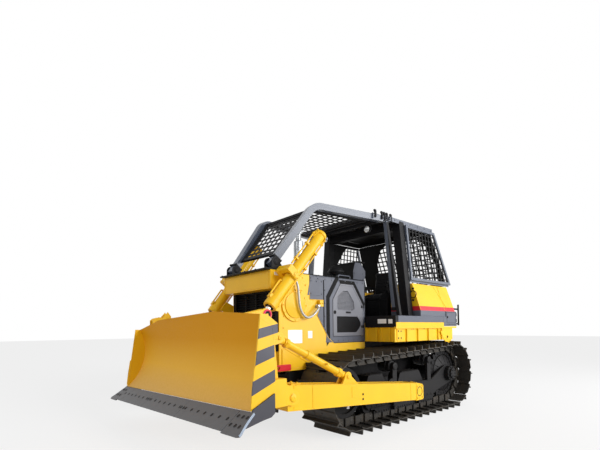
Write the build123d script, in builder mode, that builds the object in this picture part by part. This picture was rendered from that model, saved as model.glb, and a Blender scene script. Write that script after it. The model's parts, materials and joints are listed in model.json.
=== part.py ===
"""Crawler bulldozer with a limb-riser canopy, built as separate pieces.

Millimetres. +X points forward to the blade, +Y to the machine's left and +Z up. Z = 0 is the ground
under the grousers, and the origin is below the middle of the machine's overall box.
"""

from build123d import *
import math
import os

os.makedirs("parts", exist_ok=True)

SIDES = (("left", 1), ("right", -1))

# ---- driving dimensions -----------------------------------------------------------------------
# Undercarriage
track_gauge = 1870
shoe_width = 680
shoe_count = 39
wheel_base = 2833
sprocket_pitch_radius = 468
idler_pitch_radius = 410
chain_half_height = 60
shoe_plate = 15
grouser_height = 65
grouser_base = 30
grouser_tip = 16
sprocket_x = -2220
rail_inner_half = 52
rail_outer_half = 104
roller_radius = 110
carrier_radius = 90
roller_count = 6
frame_half_width = 150
frame_top = 540
frame_bottom = 250
seat_gap = 0.3

# Hull
hull_half = 480
hood_half = 580
panel_thickness = 20
hood_top = 2270
guard_front = 1430
guard_rear = 1050
guard_bottom = 875
beam_front = 1585
beam_bottom = 2010
platform_front = -420
platform_rear = -2380
platform_half = 1200
deck_top = 1658
deck_bottom = 1553
fender_bottom = 1240

# Canopy
canopy_half_rear = 900
canopy_top = 3400
canopy_rear = -2090
sweep_tube = 100
post_width = 150
screen_tube = 50

# Blade and its arms
arm_pivot_x = -450
arm_pivot_z = 520
arm_pin_radius = 60
arm_half_width = 100
arm_centre_y = 1460
arm_front_x = 2050
arm_front_z = 670
arm_height_front = 275
arm_height_rear = 240
blade_half_width = 1862
moldboard_half_width = 1735
blade_roll_deg = 2.4
blade_roll_z = 543
blade_tip_x = 2920
blade_tip_z = 465
moldboard_bottom_x = 2689
moldboard_bottom_z = 635
moldboard_top_x = 2541
moldboard_top_z = 1640
moldboard_sagitta = 200
moldboard_thickness = 20
moldboard_crown = 100
moldboard_crown_half = 800
blade_back_x = 2390

# Lift cylinders
lift_y = 760
lift_trunnion_x = 1350
lift_trunnion_z = 2178
lift_eye_x = 1813
lift_eye_z = 1617
barrel_radius = 78
barrel_above = 860
rod_radius = 38
lift_pin_radius = 25
eye_bore_radius = 42
trunnion_pin_radius = 35
running_fit = 0.06


# ---- shared shapes ----------------------------------------------------------------------------
def middle(pair):
    """The value halfway between the two values of a pair."""
    return (pair[0] + pair[1]) / 2


def size(pair):
    """The distance between the two values of a pair."""
    return abs(pair[1] - pair[0])


def block(x, y, z, mode=Mode.ADD):
    """A box between pairs of x, y and z values, in the piece being built."""
    with Locations((middle(x), middle(y), middle(z))):
        Box(size(x), size(y), size(z), mode=mode)


def side_face(points, y):
    """An upright face with the outline (x, z) at one y, facing -Y."""
    with BuildSketch(Plane(origin=(0, y, 0), x_dir=(1, 0, 0), z_dir=(0, -1, 0))) as face:
        with BuildLine():
            Polyline(*points, close=True)
        make_face()
    return face.sketch


def side_plate(points, y, mode=Mode.ADD):
    """An upright plate with the outline (x, z) between a pair of y values."""
    extrude(side_face(points, max(y)), amount=size(y), mode=mode)


def crosswise(x, z, radius, y, mode=Mode.ADD):
    """A round bar along Y between a pair of y values."""
    with Locations(Location((x, middle(y), z), (90, 0, 0))):
        Cylinder(radius, size(y), mode=mode)


def upright(x, y, radius, z, mode=Mode.ADD):
    """A round bar along Z between a pair of z values."""
    with Locations((x, y, middle(z))):
        Cylinder(radius, size(z), mode=mode)


def bar(start, end, radius, mode=Mode.ADD):
    """A round bar between two points."""
    span = Vector(*end) - Vector(*start)
    with Locations(Plane(origin=start, z_dir=span)):
        Cylinder(radius, span.length, align=(Align.CENTER, Align.CENTER, Align.MIN), mode=mode)


def write(piece, name):
    """Label a finished piece and write its STEP file."""
    piece.part.label = name
    export_step(piece.part, f"parts/{name}.step")


# ---- track path: a closed line through the chain pins ------------------------------------------
pin_to_ground = chain_half_height + shoe_plate + grouser_height
sprocket_z = sprocket_pitch_radius + pin_to_ground
idler_z = idler_pitch_radius + pin_to_ground
idler_x = sprocket_x + wheel_base


def top_line_z(x, below=0):
    """Height of the top run's pin line at x, less a distance below it."""
    rear = sprocket_z + sprocket_pitch_radius
    front = idler_z + idler_pitch_radius
    return rear + (front - rear) * (x - sprocket_x) / wheel_base - below


def track_stations():
    """Points (x, z, outward angle) at each shoe's middle, evenly spaced along the pin line."""
    rear_top = (sprocket_x, sprocket_z + sprocket_pitch_radius)
    front_top = (idler_x, idler_z + idler_pitch_radius)
    top_length = math.dist(rear_top, front_top)
    lengths = (
        wheel_base,
        math.pi * idler_pitch_radius,
        top_length,
        math.pi * sprocket_pitch_radius,
    )
    pitch = sum(lengths) / shoe_count
    stations = []
    for shoe in range(shoe_count):
        s = shoe * pitch
        if s < lengths[0]:
            stations.append((sprocket_x + s, pin_to_ground, -math.pi / 2))
            continue
        s -= lengths[0]
        if s < lengths[1]:
            angle = -math.pi / 2 + s / idler_pitch_radius
            stations.append(
                (
                    idler_x + idler_pitch_radius * math.cos(angle),
                    idler_z + idler_pitch_radius * math.sin(angle),
                    angle,
                )
            )
            continue
        s -= lengths[1]
        if s < lengths[2]:
            share = s / top_length
            x = front_top[0] + (rear_top[0] - front_top[0]) * share
            z = front_top[1] + (rear_top[1] - front_top[1]) * share
            stations.append((x, z, math.pi / 2))
            continue
        s -= lengths[2]
        angle = math.pi / 2 + s / sprocket_pitch_radius
        stations.append(
            (
                sprocket_x + sprocket_pitch_radius * math.cos(angle),
                sprocket_z + sprocket_pitch_radius * math.sin(angle),
                angle,
            )
        )
    return pitch, stations


def loop_face(offset, y):
    """The face inside the pin line moved outward by an offset, at one y."""
    rear_radius = sprocket_pitch_radius + offset
    front_radius = idler_pitch_radius + offset
    with BuildSketch(Plane(origin=(0, y, 0), x_dir=(1, 0, 0), z_dir=(0, -1, 0))) as face:
        with BuildLine():
            Line((sprocket_x, sprocket_z - rear_radius), (idler_x, idler_z - front_radius))
            ThreePointArc(
                (idler_x, idler_z - front_radius),
                (idler_x + front_radius, idler_z),
                (idler_x, idler_z + front_radius),
            )
            Line((idler_x, idler_z + front_radius), (sprocket_x, sprocket_z + rear_radius))
            ThreePointArc(
                (sprocket_x, sprocket_z + rear_radius),
                (sprocket_x - rear_radius, sprocket_z),
                (sprocket_x, sprocket_z - rear_radius),
            )
        make_face()
    return face.sketch


def shoe_outline():
    """The outline (x, z) round all shoe plates and grousers."""
    pitch, stations = track_stations()
    plate = chain_half_height + shoe_plate
    tip = plate + grouser_height
    grouser_at = -0.3 * pitch
    edge = pitch / 2 - 6
    # along the chain, out from the pin line
    profile = (
        (-edge, plate),
        (grouser_at - grouser_base / 2, plate),
        (grouser_at - grouser_tip / 2, tip),
        (grouser_at + grouser_tip / 2, tip),
        (grouser_at + grouser_base / 2, plate),
        (edge, plate),
    )
    points = []
    for x, z, angle in stations:
        out = (math.cos(angle), math.sin(angle))
        ahead = (-out[1], out[0])
        for along, away in profile:
            points.append((x + ahead[0] * along + out[0] * away, z + ahead[1] * along + out[1] * away))
    return points


# ---- undercarriage, one set on each side -------------------------------------------------------
track_half = track_gauge / 2
carrier_stations = (-1530, -500)
first_roller_x = sprocket_x + 560
last_roller_x = idler_x - 480
roller_step = (last_roller_x - first_roller_x) / (roller_count - 1)
roller_z = 2 * chain_half_height + shoe_plate + grouser_height + roller_radius + seat_gap
frame_rear = sprocket_x + 500
frame_front = idler_x - 400
side_plate_inner = frame_half_width - 32
axle_radius = 45
axle_half = side_plate_inner - seat_gap
flange_half = rail_inner_half - 6
tooth_count = 27
hub_radius = 119
bearing_radius = 105
trunnion_radius = 95
boss_reach = 395
arm_pin_end = arm_centre_y + arm_half_width - 20
# start x, end x and height of each housing on the track frame
top_housings = ((-380, frame_front - 30, 210), (-1420, -640, 190))


# Chain rails and the ring of shoes round them, one loop on each side
for side, sign in SIDES:
    centre = sign * track_half
    outer = centre + shoe_width / 2
    with BuildPart() as track:
        with BuildSketch(Plane(origin=(0, outer, 0), x_dir=(1, 0, 0), z_dir=(0, -1, 0))):
            with BuildLine():
                Polyline(*shoe_outline(), close=True)
            make_face()
        extrude(amount=shoe_width)
        extrude(loop_face(chain_half_height, outer), amount=shoe_width, mode=Mode.SUBTRACT)
        for rail in (-1, 1):
            low, high = sorted((centre + rail * rail_inner_half, centre + rail * rail_outer_half))
            extrude(loop_face(chain_half_height + 1, high), amount=high - low)
            extrude(loop_face(-chain_half_height, high), amount=high - low, mode=Mode.SUBTRACT)
    write(track, f"track_{side}")


def sprocket_outline():
    """The toothed rim's outline (x, z)."""
    root_radius = sprocket_pitch_radius - 36
    tooth_radius = sprocket_pitch_radius + 14
    points = []
    for tooth in range(tooth_count):
        for share, radius in (
            (-0.32, root_radius),
            (-0.13, tooth_radius),
            (0.13, tooth_radius),
            (0.32, root_radius),
        ):
            angle = 2 * math.pi * (tooth + 0.5 + share) / tooth_count
            points.append((sprocket_x + radius * math.cos(angle), sprocket_z + radius * math.sin(angle)))
    return points


# Drive sprockets: toothed discs that run between the rails
with BuildPart() as sprockets:
    ring_half = rail_inner_half - 8
    web_half = 16
    for side, sign in SIDES:
        centre = sign * track_half
        side_plate(sprocket_outline(), (centre - ring_half, centre + ring_half))
        for face in (-1, 1):
            recess = (centre + face * web_half, centre + face * (ring_half + 1))
            crosswise(sprocket_x, sprocket_z, 350, recess, Mode.SUBTRACT)
        web = (centre - web_half - 1, centre + web_half + 1)
        crosswise(sprocket_x, sprocket_z, hub_radius + seat_gap, web, Mode.SUBTRACT)
write(sprockets, "sprockets")

# Front idlers: flanged wheels on their axles
with BuildPart() as idlers:
    tread = idler_pitch_radius - chain_half_height - seat_gap
    for side, sign in SIDES:
        centre = sign * track_half
        crosswise(idler_x, idler_z, tread, (centre - rail_outer_half, centre + rail_outer_half))
        crosswise(idler_x, idler_z, tread + 22, (centre - flange_half, centre + flange_half))
        for face in (-1, 1):
            dish = (centre + face * (rail_outer_half + 1), centre + face * 70)
            crosswise(idler_x, idler_z, tread - 60, dish, Mode.SUBTRACT)
        crosswise(idler_x, idler_z, 110, (centre - rail_outer_half, centre + rail_outer_half))
        crosswise(idler_x, idler_z, axle_radius, (centre - axle_half, centre + axle_half))
write(idlers, "idlers")

# Track rollers, a row of flanged rollers standing on the rails
with BuildPart() as track_rollers:
    for side, sign in SIDES:
        centre = sign * track_half
        for index in range(roller_count):
            x = first_roller_x + index * roller_step
            crosswise(x, roller_z, roller_radius, (centre - rail_outer_half, centre + rail_outer_half))
            crosswise(x, roller_z, roller_radius + 15, (centre - flange_half, centre + flange_half))
            crosswise(x, roller_z, axle_radius, (centre - axle_half, centre + axle_half))
write(track_rollers, "track_rollers")

# Carrier rollers under the top run, each on a post that stands on the track frame's outer edge
with BuildPart() as carrier_rollers:
    for side, sign in SIDES:
        centre = sign * track_half
        for x in carrier_stations:
            z = top_line_z(x, chain_half_height + carrier_radius + 2)
            crosswise(x, z, carrier_radius, (centre - rail_outer_half, centre + rail_outer_half))
            crosswise(x, z, carrier_radius + 14, (centre - flange_half, centre + flange_half))
            crosswise(x, z, 40, (centre, centre + sign * 165))
            crosswise(x, z, 62, (centre + sign * 112, centre + sign * 170))
            post = (centre + sign * (side_plate_inner + 2), centre + sign * 165)
            block((x - 55, x + 55), post, (frame_top + seat_gap, z + 20))
            crosswise(arm_pivot_x, arm_pivot_z, trunnion_radius + seat_gap, post, Mode.SUBTRACT)
write(carrier_rollers, "carrier_rollers")

# Track frames: inverted troughs over the rollers, each with the push-arm trunnion on its outer side
with BuildPart() as track_frames:
    for side, sign in SIDES:
        centre = sign * track_half
        side_plate(
            (
                (frame_rear, frame_bottom + 60),
                (frame_rear + 60, frame_bottom),
                (frame_front - 60, frame_bottom),
                (frame_front, frame_bottom + 60),
                (frame_front, frame_top),
                (frame_rear, frame_top),
            ),
            (centre - frame_half_width, centre + frame_half_width),
        )
        roller_space = (frame_bottom - 1, roller_z + roller_radius + 30)
        inside = (centre - side_plate_inner, centre + side_plate_inner)
        block((frame_rear - 10, frame_front + 10), inside, roller_space, Mode.SUBTRACT)
        for face in (-1, 1):
            side_plate(
                (
                    (frame_front - 200, frame_bottom + 130),
                    (frame_front, frame_bottom + 130),
                    (idler_x + 60, idler_z - 70),
                    (idler_x + 110, idler_z),
                    (idler_x + 60, idler_z + 70),
                    (frame_front, frame_top + 70),
                    (frame_front - 200, frame_top),
                ),
                (centre + face * side_plate_inner, centre + face * frame_half_width),
            )
        # the outer cheek reaches back round the sprocket's outer bearing
        side_plate(
            (
                (frame_rear + 200, frame_bottom + 60),
                (frame_rear, frame_bottom + 60),
                (sprocket_x - 60, sprocket_z - 170),
                (sprocket_x - 150, sprocket_z - 60),
                (sprocket_x - 150, sprocket_z + 60),
                (sprocket_x - 60, sprocket_z + 150),
                (sprocket_x + 120, sprocket_z + 150),
                (frame_rear + 100, frame_top),
                (frame_rear + 200, frame_top - 30),
            ),
            (centre + sign * side_plate_inner, centre + sign * frame_half_width),
        )
        bearing = (centre + sign * (side_plate_inner - 1), centre + sign * (frame_half_width + 1))
        crosswise(sprocket_x, sprocket_z, bearing_radius + seat_gap, bearing, Mode.SUBTRACT)
        # raised housings on top: the recoil spring's in front, another behind
        for start, end, height in top_housings:
            side_plate(
                (
                    (start, frame_top),
                    (end, frame_top),
                    (end - 90, frame_top + height),
                    (start + 130, frame_top + height),
                ),
                (centre - 110, centre + 110),
            )
        # push-arm trunnion, a pin that reaches out past the shoes
        boss = (centre + sign * side_plate_inner, centre + sign * boss_reach)
        crosswise(arm_pivot_x, arm_pivot_z, trunnion_radius, boss)
        crosswise(arm_pivot_x, arm_pivot_z, arm_pin_radius, (centre + sign * boss_reach, sign * arm_pin_end))
write(track_frames, "track_frames")

# Final drives: the cases between the hull and the sprockets, and the outer hubs with their bearing caps
with BuildPart() as final_drives:
    for side, sign in SIDES:
        centre = sign * track_half
        # radius, start and end from the track's centre line, outward
        for radius, start, end in (
            (300, hull_half - track_half, -190),
            (340, -190, -web_half - 8),
            (hub_radius, -web_half - 8, web_half + 8),
            (330, web_half + 8, 45),
            (bearing_radius, 105, 152),
            (135, 152, 225),
            (90, 225, 262),
        ):
            crosswise(sprocket_x, sprocket_z, radius, (centre + sign * start, centre + sign * end))
        with Locations(Location((sprocket_x, centre + sign * 75, sprocket_z), (-90 * sign, 0, 0))):
            Cone(330, 190, 60)
write(final_drives, "final_drives")


# ---- hull -------------------------------------------------------------------------------------
# Main frame: the steering and transmission case, two long rails, the belly plate and the equaliser bar
rail_top = 980
rail_bottom = 640
rail_inner = 340
rail_outer = 430
case_front = -1350
case_rear = -2640
case_bottom = 430
case_top = 1180
equaliser_x = -510
bumper_depth = 300
with BuildPart() as main_frame:
    side_plate(
        (
            (case_front, case_bottom),
            (case_front, case_top),
            (case_rear + 150, case_top),
            (case_rear, case_top - 150),
            (case_rear, case_bottom + 120),
            (case_rear + 160, case_bottom),
        ),
        (-hull_half, hull_half),
    )
    for side, sign in SIDES:
        rail_sides = (sign * rail_inner, sign * rail_outer)
        block((case_front, guard_front - bumper_depth), rail_sides, (rail_bottom, rail_top))
    side_plate(
        (
            (case_front, case_bottom),
            (guard_front - 380, case_bottom),
            (guard_front - 40, rail_bottom),
            (guard_front - 40, rail_bottom + 25),
            (guard_front - 390, case_bottom + 25),
            (case_front, case_bottom + 25),
        ),
        (-rail_outer, rail_outer),
    )
    for side, sign in SIDES:
        skirt = (sign * (rail_outer - 25), sign * rail_outer)
        block((case_front, guard_front - 390), skirt, (case_bottom, rail_bottom))
    for x in (-900, -200, 500, 1080):
        block((x - 40, x + 40), (-rail_inner, rail_inner), (rail_bottom, rail_bottom + 160))
    equaliser_half = track_half - 20
    equaliser_height = (frame_top + seat_gap, frame_top + 130)
    block((equaliser_x - 70, equaliser_x + 70), (-equaliser_half, equaliser_half), equaliser_height)
write(main_frame, "main_frame")

# Drawbar: a two-lug clevis at the back with an upright pin hole
hitch_x = -2845
hitch_z = 560
hitch_bore = 27
with BuildPart() as drawbar:
    block((case_rear - 25, case_rear), (-260, 260), (hitch_z - 100, hitch_z + 260))
    for z in (hitch_z - 85, hitch_z + 45):
        block((hitch_x, case_rear - 25), (-75, 75), (z, z + 40))
        upright(hitch_x, 0, 75, (z, z + 40))
    upright(hitch_x, 0, hitch_bore, (hitch_z - 86, hitch_z + 86), Mode.SUBTRACT)
    for y in (-75, 55):
        block((case_rear - 120, case_rear - 25), (y, y + 20), (hitch_z - 85, hitch_z + 85))
write(drawbar, "drawbar")

# Engine, one plain block on the rails
with BuildPart() as engine_block:
    between_rails = rail_inner - seat_gap
    block((-300, 880), (-between_rails, between_rails), (rail_top - 80, 1980))
    block((880, 960), (-200, 200), (1200, 1800))
write(engine_block, "engine_block")

# Radiator guard: yellow side plates, deep top beam and front bumper, open in front for the grille
guard_plate = 25
guard_inner = hood_half - guard_plate
panel_front = 850
hood_thickness = 30
panel_edge = (
    (panel_front, hood_top),
    (panel_front, 1890),
    (560, 1890),
    (640, 1780),
    (700, 1660),
    (475, 1330),
    (345, 1233),
    (platform_front + 5, 1233),
)
bulge_x = 1150
bulge_z = 1800
bulge_radius = 235
bulge_height = 22
beam_half = hood_half + bulge_height
grille_bottom = 1150
with BuildPart() as radiator_guard:
    for side, sign in SIDES:
        side_plate(
            (
                (guard_front, guard_bottom),
                (guard_front, hood_top),
                *panel_edge,
                (platform_front + 5, rail_bottom + 260),
                (guard_rear - 200, rail_bottom + 260),
                (guard_rear - 100, guard_bottom),
            ),
            (sign * guard_inner, sign * hood_half),
        )
        crosswise(bulge_x, bulge_z, bulge_radius, (sign * hood_half, sign * beam_half))
        crosswise(bulge_x, bulge_z, bulge_radius - 50, (sign * beam_half, sign * (beam_half + 14)))
        block((guard_rear - 60, guard_front), (sign * (guard_inner - 90), sign * guard_inner), (1000, 1060))
    block((guard_rear - 40, beam_front), (-beam_half, beam_half), (beam_bottom, hood_top))
    width = (-guard_inner, guard_inner)
    block((guard_front - bumper_depth, guard_front), width, (guard_bottom, grille_bottom))
    block((guard_rear - 60, guard_rear + 40), width, (grille_bottom, grille_bottom + 60))
    block((panel_front, guard_rear), width, (hood_top - hood_thickness, hood_top))
write(radiator_guard, "radiator_guard")

# Grille: a recessed dark panel with level louvres
grille_front = guard_front - 30
louvre_count = 12
with BuildPart() as radiator_grille:
    across = guard_inner - seat_gap
    upward = (grille_bottom + seat_gap, beam_bottom - seat_gap)
    block((grille_front - 40, grille_front - 20), (-across, across), upward)
    louvre_step = (beam_bottom - grille_bottom - 60) / louvre_count
    for index in range(louvre_count):
        z = grille_bottom + 40 + index * louvre_step
        block((grille_front - 21, grille_front), (-guard_inner + 20, guard_inner - 20), (z, z + 24))
write(radiator_grille, "radiator_grille")

# Pull eyes on the bumper's sides
hook_bore = 26
hook_x = 1470
hook_z = 930
with BuildPart() as tow_eyes:
    for side, sign in SIDES:
        near, far = sign * (hood_half + seat_gap), sign * (hood_half + 42)
        block((1250, hook_x), (near, far), (hook_z - 42, hook_z + 42))
        crosswise(hook_x, hook_z, 42, (near, far))
        crosswise(hook_x, hook_z, hook_bore, (near - sign, far + sign), Mode.SUBTRACT)
write(tow_eyes, "tow_eyes")

# Hood top
with BuildPart() as hood:
    along = (platform_front + 5, panel_front - seat_gap)
    block(along, (-hood_half, hood_half), (hood_top - hood_thickness, hood_top))
    fillet(hood.edges().filter_by(Axis.X).group_by(Axis.Z)[-1], radius=25)
write(hood, "hood")

# Engine side panels, each with a hinged door at its middle
door_gap = 6
door_front = 355
door_rear = -375
door_bottom = 1340
door_top = 2170
door_outer = hood_half + 10
door_thickness = 26
hinge_x = door_rear - door_gap / 2
hinge_radius = 8
hinge_heights = (1420, 1750)
knuckle = 45


def door_outline(margin):
    """The door's eight-sided outline (x, z), grown outward by a margin."""
    return (
        (door_front + margin, door_bottom - margin),
        (door_front + margin, 1912 + margin),
        (178 + margin / 2, door_top + margin),
        (-125 - margin / 2, door_top + margin),
        (door_rear - margin, 1836 + margin),
        (door_rear - margin, door_bottom - margin),
    )


with BuildPart() as side_panels:
    panel_top = hood_top - hood_thickness - seat_gap
    for side, sign in SIDES:
        side_plate(
            (
                (panel_front - 8, panel_top),
                (panel_front - 8, 1896),
                (548, 1896),
                (632, 1782),
                (692, 1663),
                (468, 1334),
                (342, 1240),
                (platform_front + 5, 1240),
                (platform_front + 5, panel_top),
            ),
            (sign * (hood_half - panel_thickness), sign * hood_half),
        )
        through = (sign * (hood_half - panel_thickness - 1), sign * (hood_half + 1))
        side_plate(door_outline(door_gap), through, Mode.SUBTRACT)
        for z in hinge_heights:
            leaf = (hinge_x - 22, hinge_x - 1)
            block(leaf, (sign * (hood_half - 1), sign * (door_outer + hinge_radius - 2)), (z, z + knuckle))
            upright(hinge_x, sign * door_outer, hinge_radius, (z, z + knuckle))
write(side_panels, "side_panels")

for side, sign in SIDES:
    with BuildPart() as engine_door:
        side_plate(door_outline(0), (sign * (door_outer - door_thickness), sign * door_outer))
        for z in hinge_heights:
            clear = (z - seat_gap, z + knuckle + seat_gap)
            upright(hinge_x, sign * door_outer, hinge_radius + 5, clear, Mode.SUBTRACT)
            above = z + knuckle + seat_gap
            upright(hinge_x, sign * door_outer, hinge_radius, (above, above + knuckle))
    write(engine_door, f"engine_door_{side}")

# Exhaust stack and air precleaner on the hood
stack_x = 545
precleaner = (-130, 200)
with BuildPart() as exhaust_stack:
    upright(stack_x, 0, 55, (hood_top + seat_gap, 2420))
    upright(stack_x, 0, 78, (2420, 2900))
    upright(stack_x, 0, 42, (2900, 3010))
    bar((stack_x, 0, 2990), (stack_x - 95, 0, 3085), 42)
write(exhaust_stack, "exhaust_stack")

with BuildPart() as air_precleaner:
    x, y = precleaner
    upright(x, y, 55, (hood_top + seat_gap, 2380))
    upright(x, y, 118, (2380, 2400))
    upright(x, y, 138, (2400, 2455))
    upright(x, y, 110, (2455, 2490))
write(air_precleaner, "air_precleaner")

# Dark cap plate on the guard, with the two feet that take the canopy's risers
cap_thickness = 20
foot_x = 1475
foot_y = 500
foot_z = 2385
foot_pin_radius = 28
with BuildPart() as guard_cap:
    block((guard_rear - 20, 1665), (-600, 600), (hood_top + seat_gap, hood_top + cap_thickness))
    for side, sign in SIDES:
        for face in (-1, 1):
            lug = (sign * foot_y + face * 70, sign * foot_y + face * 92)
            block((foot_x - 75, foot_x + 75), lug, (hood_top + cap_thickness - 1, foot_z))
            crosswise(foot_x, foot_z, 75, lug)
        crosswise(foot_x, foot_z, foot_pin_radius, (sign * foot_y - 100, sign * foot_y + 100))
write(guard_cap, "guard_cap")


# ---- operator's platform ------------------------------------------------------------------------
def cross_plate(points, x, mode=Mode.ADD):
    """A plate across the machine with the outline (y, z) between a pair of x values."""
    with BuildSketch(Plane(origin=(min(x), 0, 0), x_dir=(0, 1, 0), z_dir=(1, 0, 0))) as face:
        with BuildLine():
            Polyline(*points, close=True)
        make_face()
    extrude(face.sketch, amount=size(x), mode=mode)


# Transmission and cab support: the hull's upper part behind the engine
box_depth = 60
deck_front = platform_front - box_depth - seat_gap
support_rear = case_rear + 150
with BuildPart() as cab_support:
    block((case_front, platform_front), (-hull_half, hull_half), (rail_top + seat_gap, deck_bottom))
    block((support_rear, case_front), (-hull_half, hull_half), (case_top + seat_gap, deck_bottom))
write(cab_support, "cab_support")

# Deck
band_rear = -1905
deck_narrow_half = 990
with BuildPart() as deck:
    deck_height = (deck_bottom + seat_gap, deck_top)
    block((band_rear, deck_front), (-platform_half, platform_half), deck_height)
    block((platform_rear, band_rear), (-deck_narrow_half, deck_narrow_half), deck_height)
write(deck, "deck")

# Fenders: ribbed beams under the deck's sides, with an edge band on top and a tail plate
band_height = 82
fender_rear = -1850
fender_ribs = (-1740, -1410, -1080, -750)
with BuildPart() as fenders:
    band_bottom = deck_bottom - band_height
    for side, sign in SIDES:
        inner = sign * (hull_half + seat_gap)
        beam_side = sign * (platform_half - 30)
        rib_side = sign * (platform_half - 5)
        block((fender_rear, platform_front - 20), (inner, beam_side), (fender_bottom, band_bottom))
        block((band_rear, platform_front), (inner, sign * platform_half), (band_bottom, deck_bottom))
        for x in fender_ribs:
            block((x, x + 25), (beam_side, rib_side), (fender_bottom, band_bottom))
        for y in (hood_half + 10, 890, platform_half - 55):
            rib = (sign * y, sign * (y + 25))
            block((platform_front - 20, platform_front), rib, (fender_bottom, band_bottom))
        tail = (rib_side - sign * 25, rib_side)
        block((fender_rear - 370, fender_rear + 10), tail, (fender_bottom, band_bottom))
write(fenders, "fenders")

# Boxes on the platform's front, beside the engine
with BuildPart() as front_boxes:
    for side, sign in SIDES:
        across = (sign * (hood_half + 10), sign * (platform_half - 5))
        block((deck_front + seat_gap, platform_front), across, (deck_bottom + seat_gap, deck_top))
        block((platform_front + seat_gap, platform_front + 8), across, (band_bottom, deck_top))
        block((platform_front - 2, platform_front + 2), across, (deck_bottom + seat_gap, deck_top))
write(front_boxes, "front_boxes")

# Firewall behind the engine and the dashboard on it
firewall_rear = platform_front - 50
dash_half = 270
with BuildPart() as firewall:
    width = (-hood_half + 25, hood_half - 25)
    block((firewall_rear, platform_front), width, (deck_bottom + seat_gap, hood_top - 35))
write(firewall, "firewall")

with BuildPart() as dashboard:
    side_plate(
        (
            (firewall_rear - 20, deck_top + seat_gap),
            (firewall_rear - 20, 2480),
            (firewall_rear - 80, 2650),
            (firewall_rear - 240, 2650),
            (firewall_rear - 380, 2500),
            (firewall_rear - 380, 2400),
            (firewall_rear - 190, 2000),
            (firewall_rear - 190, deck_top + seat_gap),
        ),
        (-dash_half, dash_half),
    )
    fillet(dashboard.edges().filter_by(Axis.Y).group_by(Axis.Z)[-1], radius=30)
write(dashboard, "dashboard")

# Seat on its base, between two consoles with levers
seat_front = -1380
seat_rear = -1830
seat_half = 250
seat_base_top = 1990
cushion_top = 2110
console_top = 2120
with BuildPart() as seat_base:
    side_plate(
        (
            (seat_front - 60, deck_top + seat_gap),
            (seat_front - 20, seat_base_top),
            (seat_rear, seat_base_top),
            (seat_rear + 40, deck_top + seat_gap),
        ),
        (-seat_half + 20, seat_half - 20),
    )
write(seat_base, "seat_base")

with BuildPart() as seat_cushion:
    block((seat_rear, seat_front), (-seat_half, seat_half), (seat_base_top + seat_gap, cushion_top))
    fillet(seat_cushion.edges().group_by(Axis.Z)[-1], radius=35)
write(seat_cushion, "seat_cushion")

with BuildPart() as seat_back:
    side_plate(
        (
            (seat_rear - 20, cushion_top + seat_gap),
            (seat_rear + 100, cushion_top + seat_gap),
            (seat_rear + 30, 2620),
            (seat_rear - 70, 2620),
        ),
        (-seat_half + 10, seat_half - 10),
    )
    fillet(seat_back.edges().group_by(Axis.Z)[-1], radius=35)
write(seat_back, "seat_back")

with BuildPart() as consoles:
    for side, sign in SIDES:
        side_plate(
            (
                (seat_front + 230, deck_top + seat_gap),
                (seat_front + 230, console_top - 120),
                (seat_front + 130, console_top),
                (seat_rear + 120, console_top),
                (seat_rear + 120, deck_top + seat_gap),
            ),
            (sign * (seat_half + 80), sign * (seat_half + 270)),
        )
write(consoles, "consoles")

# side, x along the console, distance from the middle line, height of the knob
levers = ((1, -1290, 420, 190), (1, -1400, 380, 150), (-1, -1290, 420, 210), (-1, -1380, 470, 120))
with BuildPart() as control_levers:
    for sign, x, y, height in levers:
        upright(x, sign * y, 12, (console_top + seat_gap, console_top + height))
        with Locations((x, sign * y, console_top + height)):
            Sphere(28)
write(control_levers, "control_levers")

# Tanks: the fuel tank behind the seat and a sloped tank on each side
tank_top = 2230
tank_front = -1150
tank_step = -1990
tank_rear = -2340
tank_inner = 600
tank_foot_half = 1190
tank_top_half = 1030
tank_waist = 1764
box_top = 1757
fuel_rear = -2560
with BuildPart() as fuel_tank:
    fuel_half = tank_inner - seat_gap
    block((fuel_rear, tank_step - 10), (-fuel_half, fuel_half), (deck_top + seat_gap, tank_top))
    chamfer(fuel_tank.edges().filter_by(Axis.Y).group_by(Axis.Z)[-1], length=60)
write(fuel_tank, "fuel_tank")


def tank_side(z):
    """Distance of the tank's sloped outer face from the middle line, at a height."""
    return tank_foot_half - (tank_foot_half - tank_top_half) * (z - tank_waist) / (tank_top - tank_waist)


with BuildPart() as side_tanks:
    for side, sign in SIDES:
        cross_plate(
            (
                (sign * tank_inner, deck_top + seat_gap),
                (sign * tank_foot_half, deck_top + seat_gap),
                (sign * tank_foot_half, tank_waist),
                (sign * tank_top_half, tank_top),
                (sign * tank_inner, tank_top),
            ),
            (tank_step, tank_front),
        )
        cross_plate(
            (
                (sign * tank_inner, box_top + seat_gap),
                (sign * tank_side(box_top + seat_gap), box_top + seat_gap),
                (sign * tank_top_half, tank_top),
                (sign * tank_inner, tank_top),
            ),
            (tank_rear, tank_step),
        )
write(side_tanks, "side_tanks")

# Boxes at the platform's rear corners, each with a grab rail
rear_box_bottom = 1487
rail_x = -2560
with BuildPart() as rear_boxes:
    for side, sign in SIDES:
        outside = sign * platform_half
        upper = (sign * tank_inner, outside)
        block((platform_rear, tank_step - seat_gap), upper, (deck_top + seat_gap, box_top))
        lower = (sign * (deck_narrow_half + seat_gap), outside)
        block((platform_rear, tank_step - seat_gap), lower, (rear_box_bottom, deck_top + 1))
        block((platform_rear, band_rear - seat_gap), lower, (rear_box_bottom, deck_top))
write(rear_boxes, "rear_boxes")

with BuildPart() as grab_rails:
    for side, sign in SIDES:
        y = sign * (platform_half - 50)
        for z in (1530, 1810):
            bar((platform_rear - seat_gap, y, z), (rail_x, y, z), 16)
        upright(rail_x, y, 16, (1500, 1900))
write(grab_rails, "grab_rails")

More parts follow.
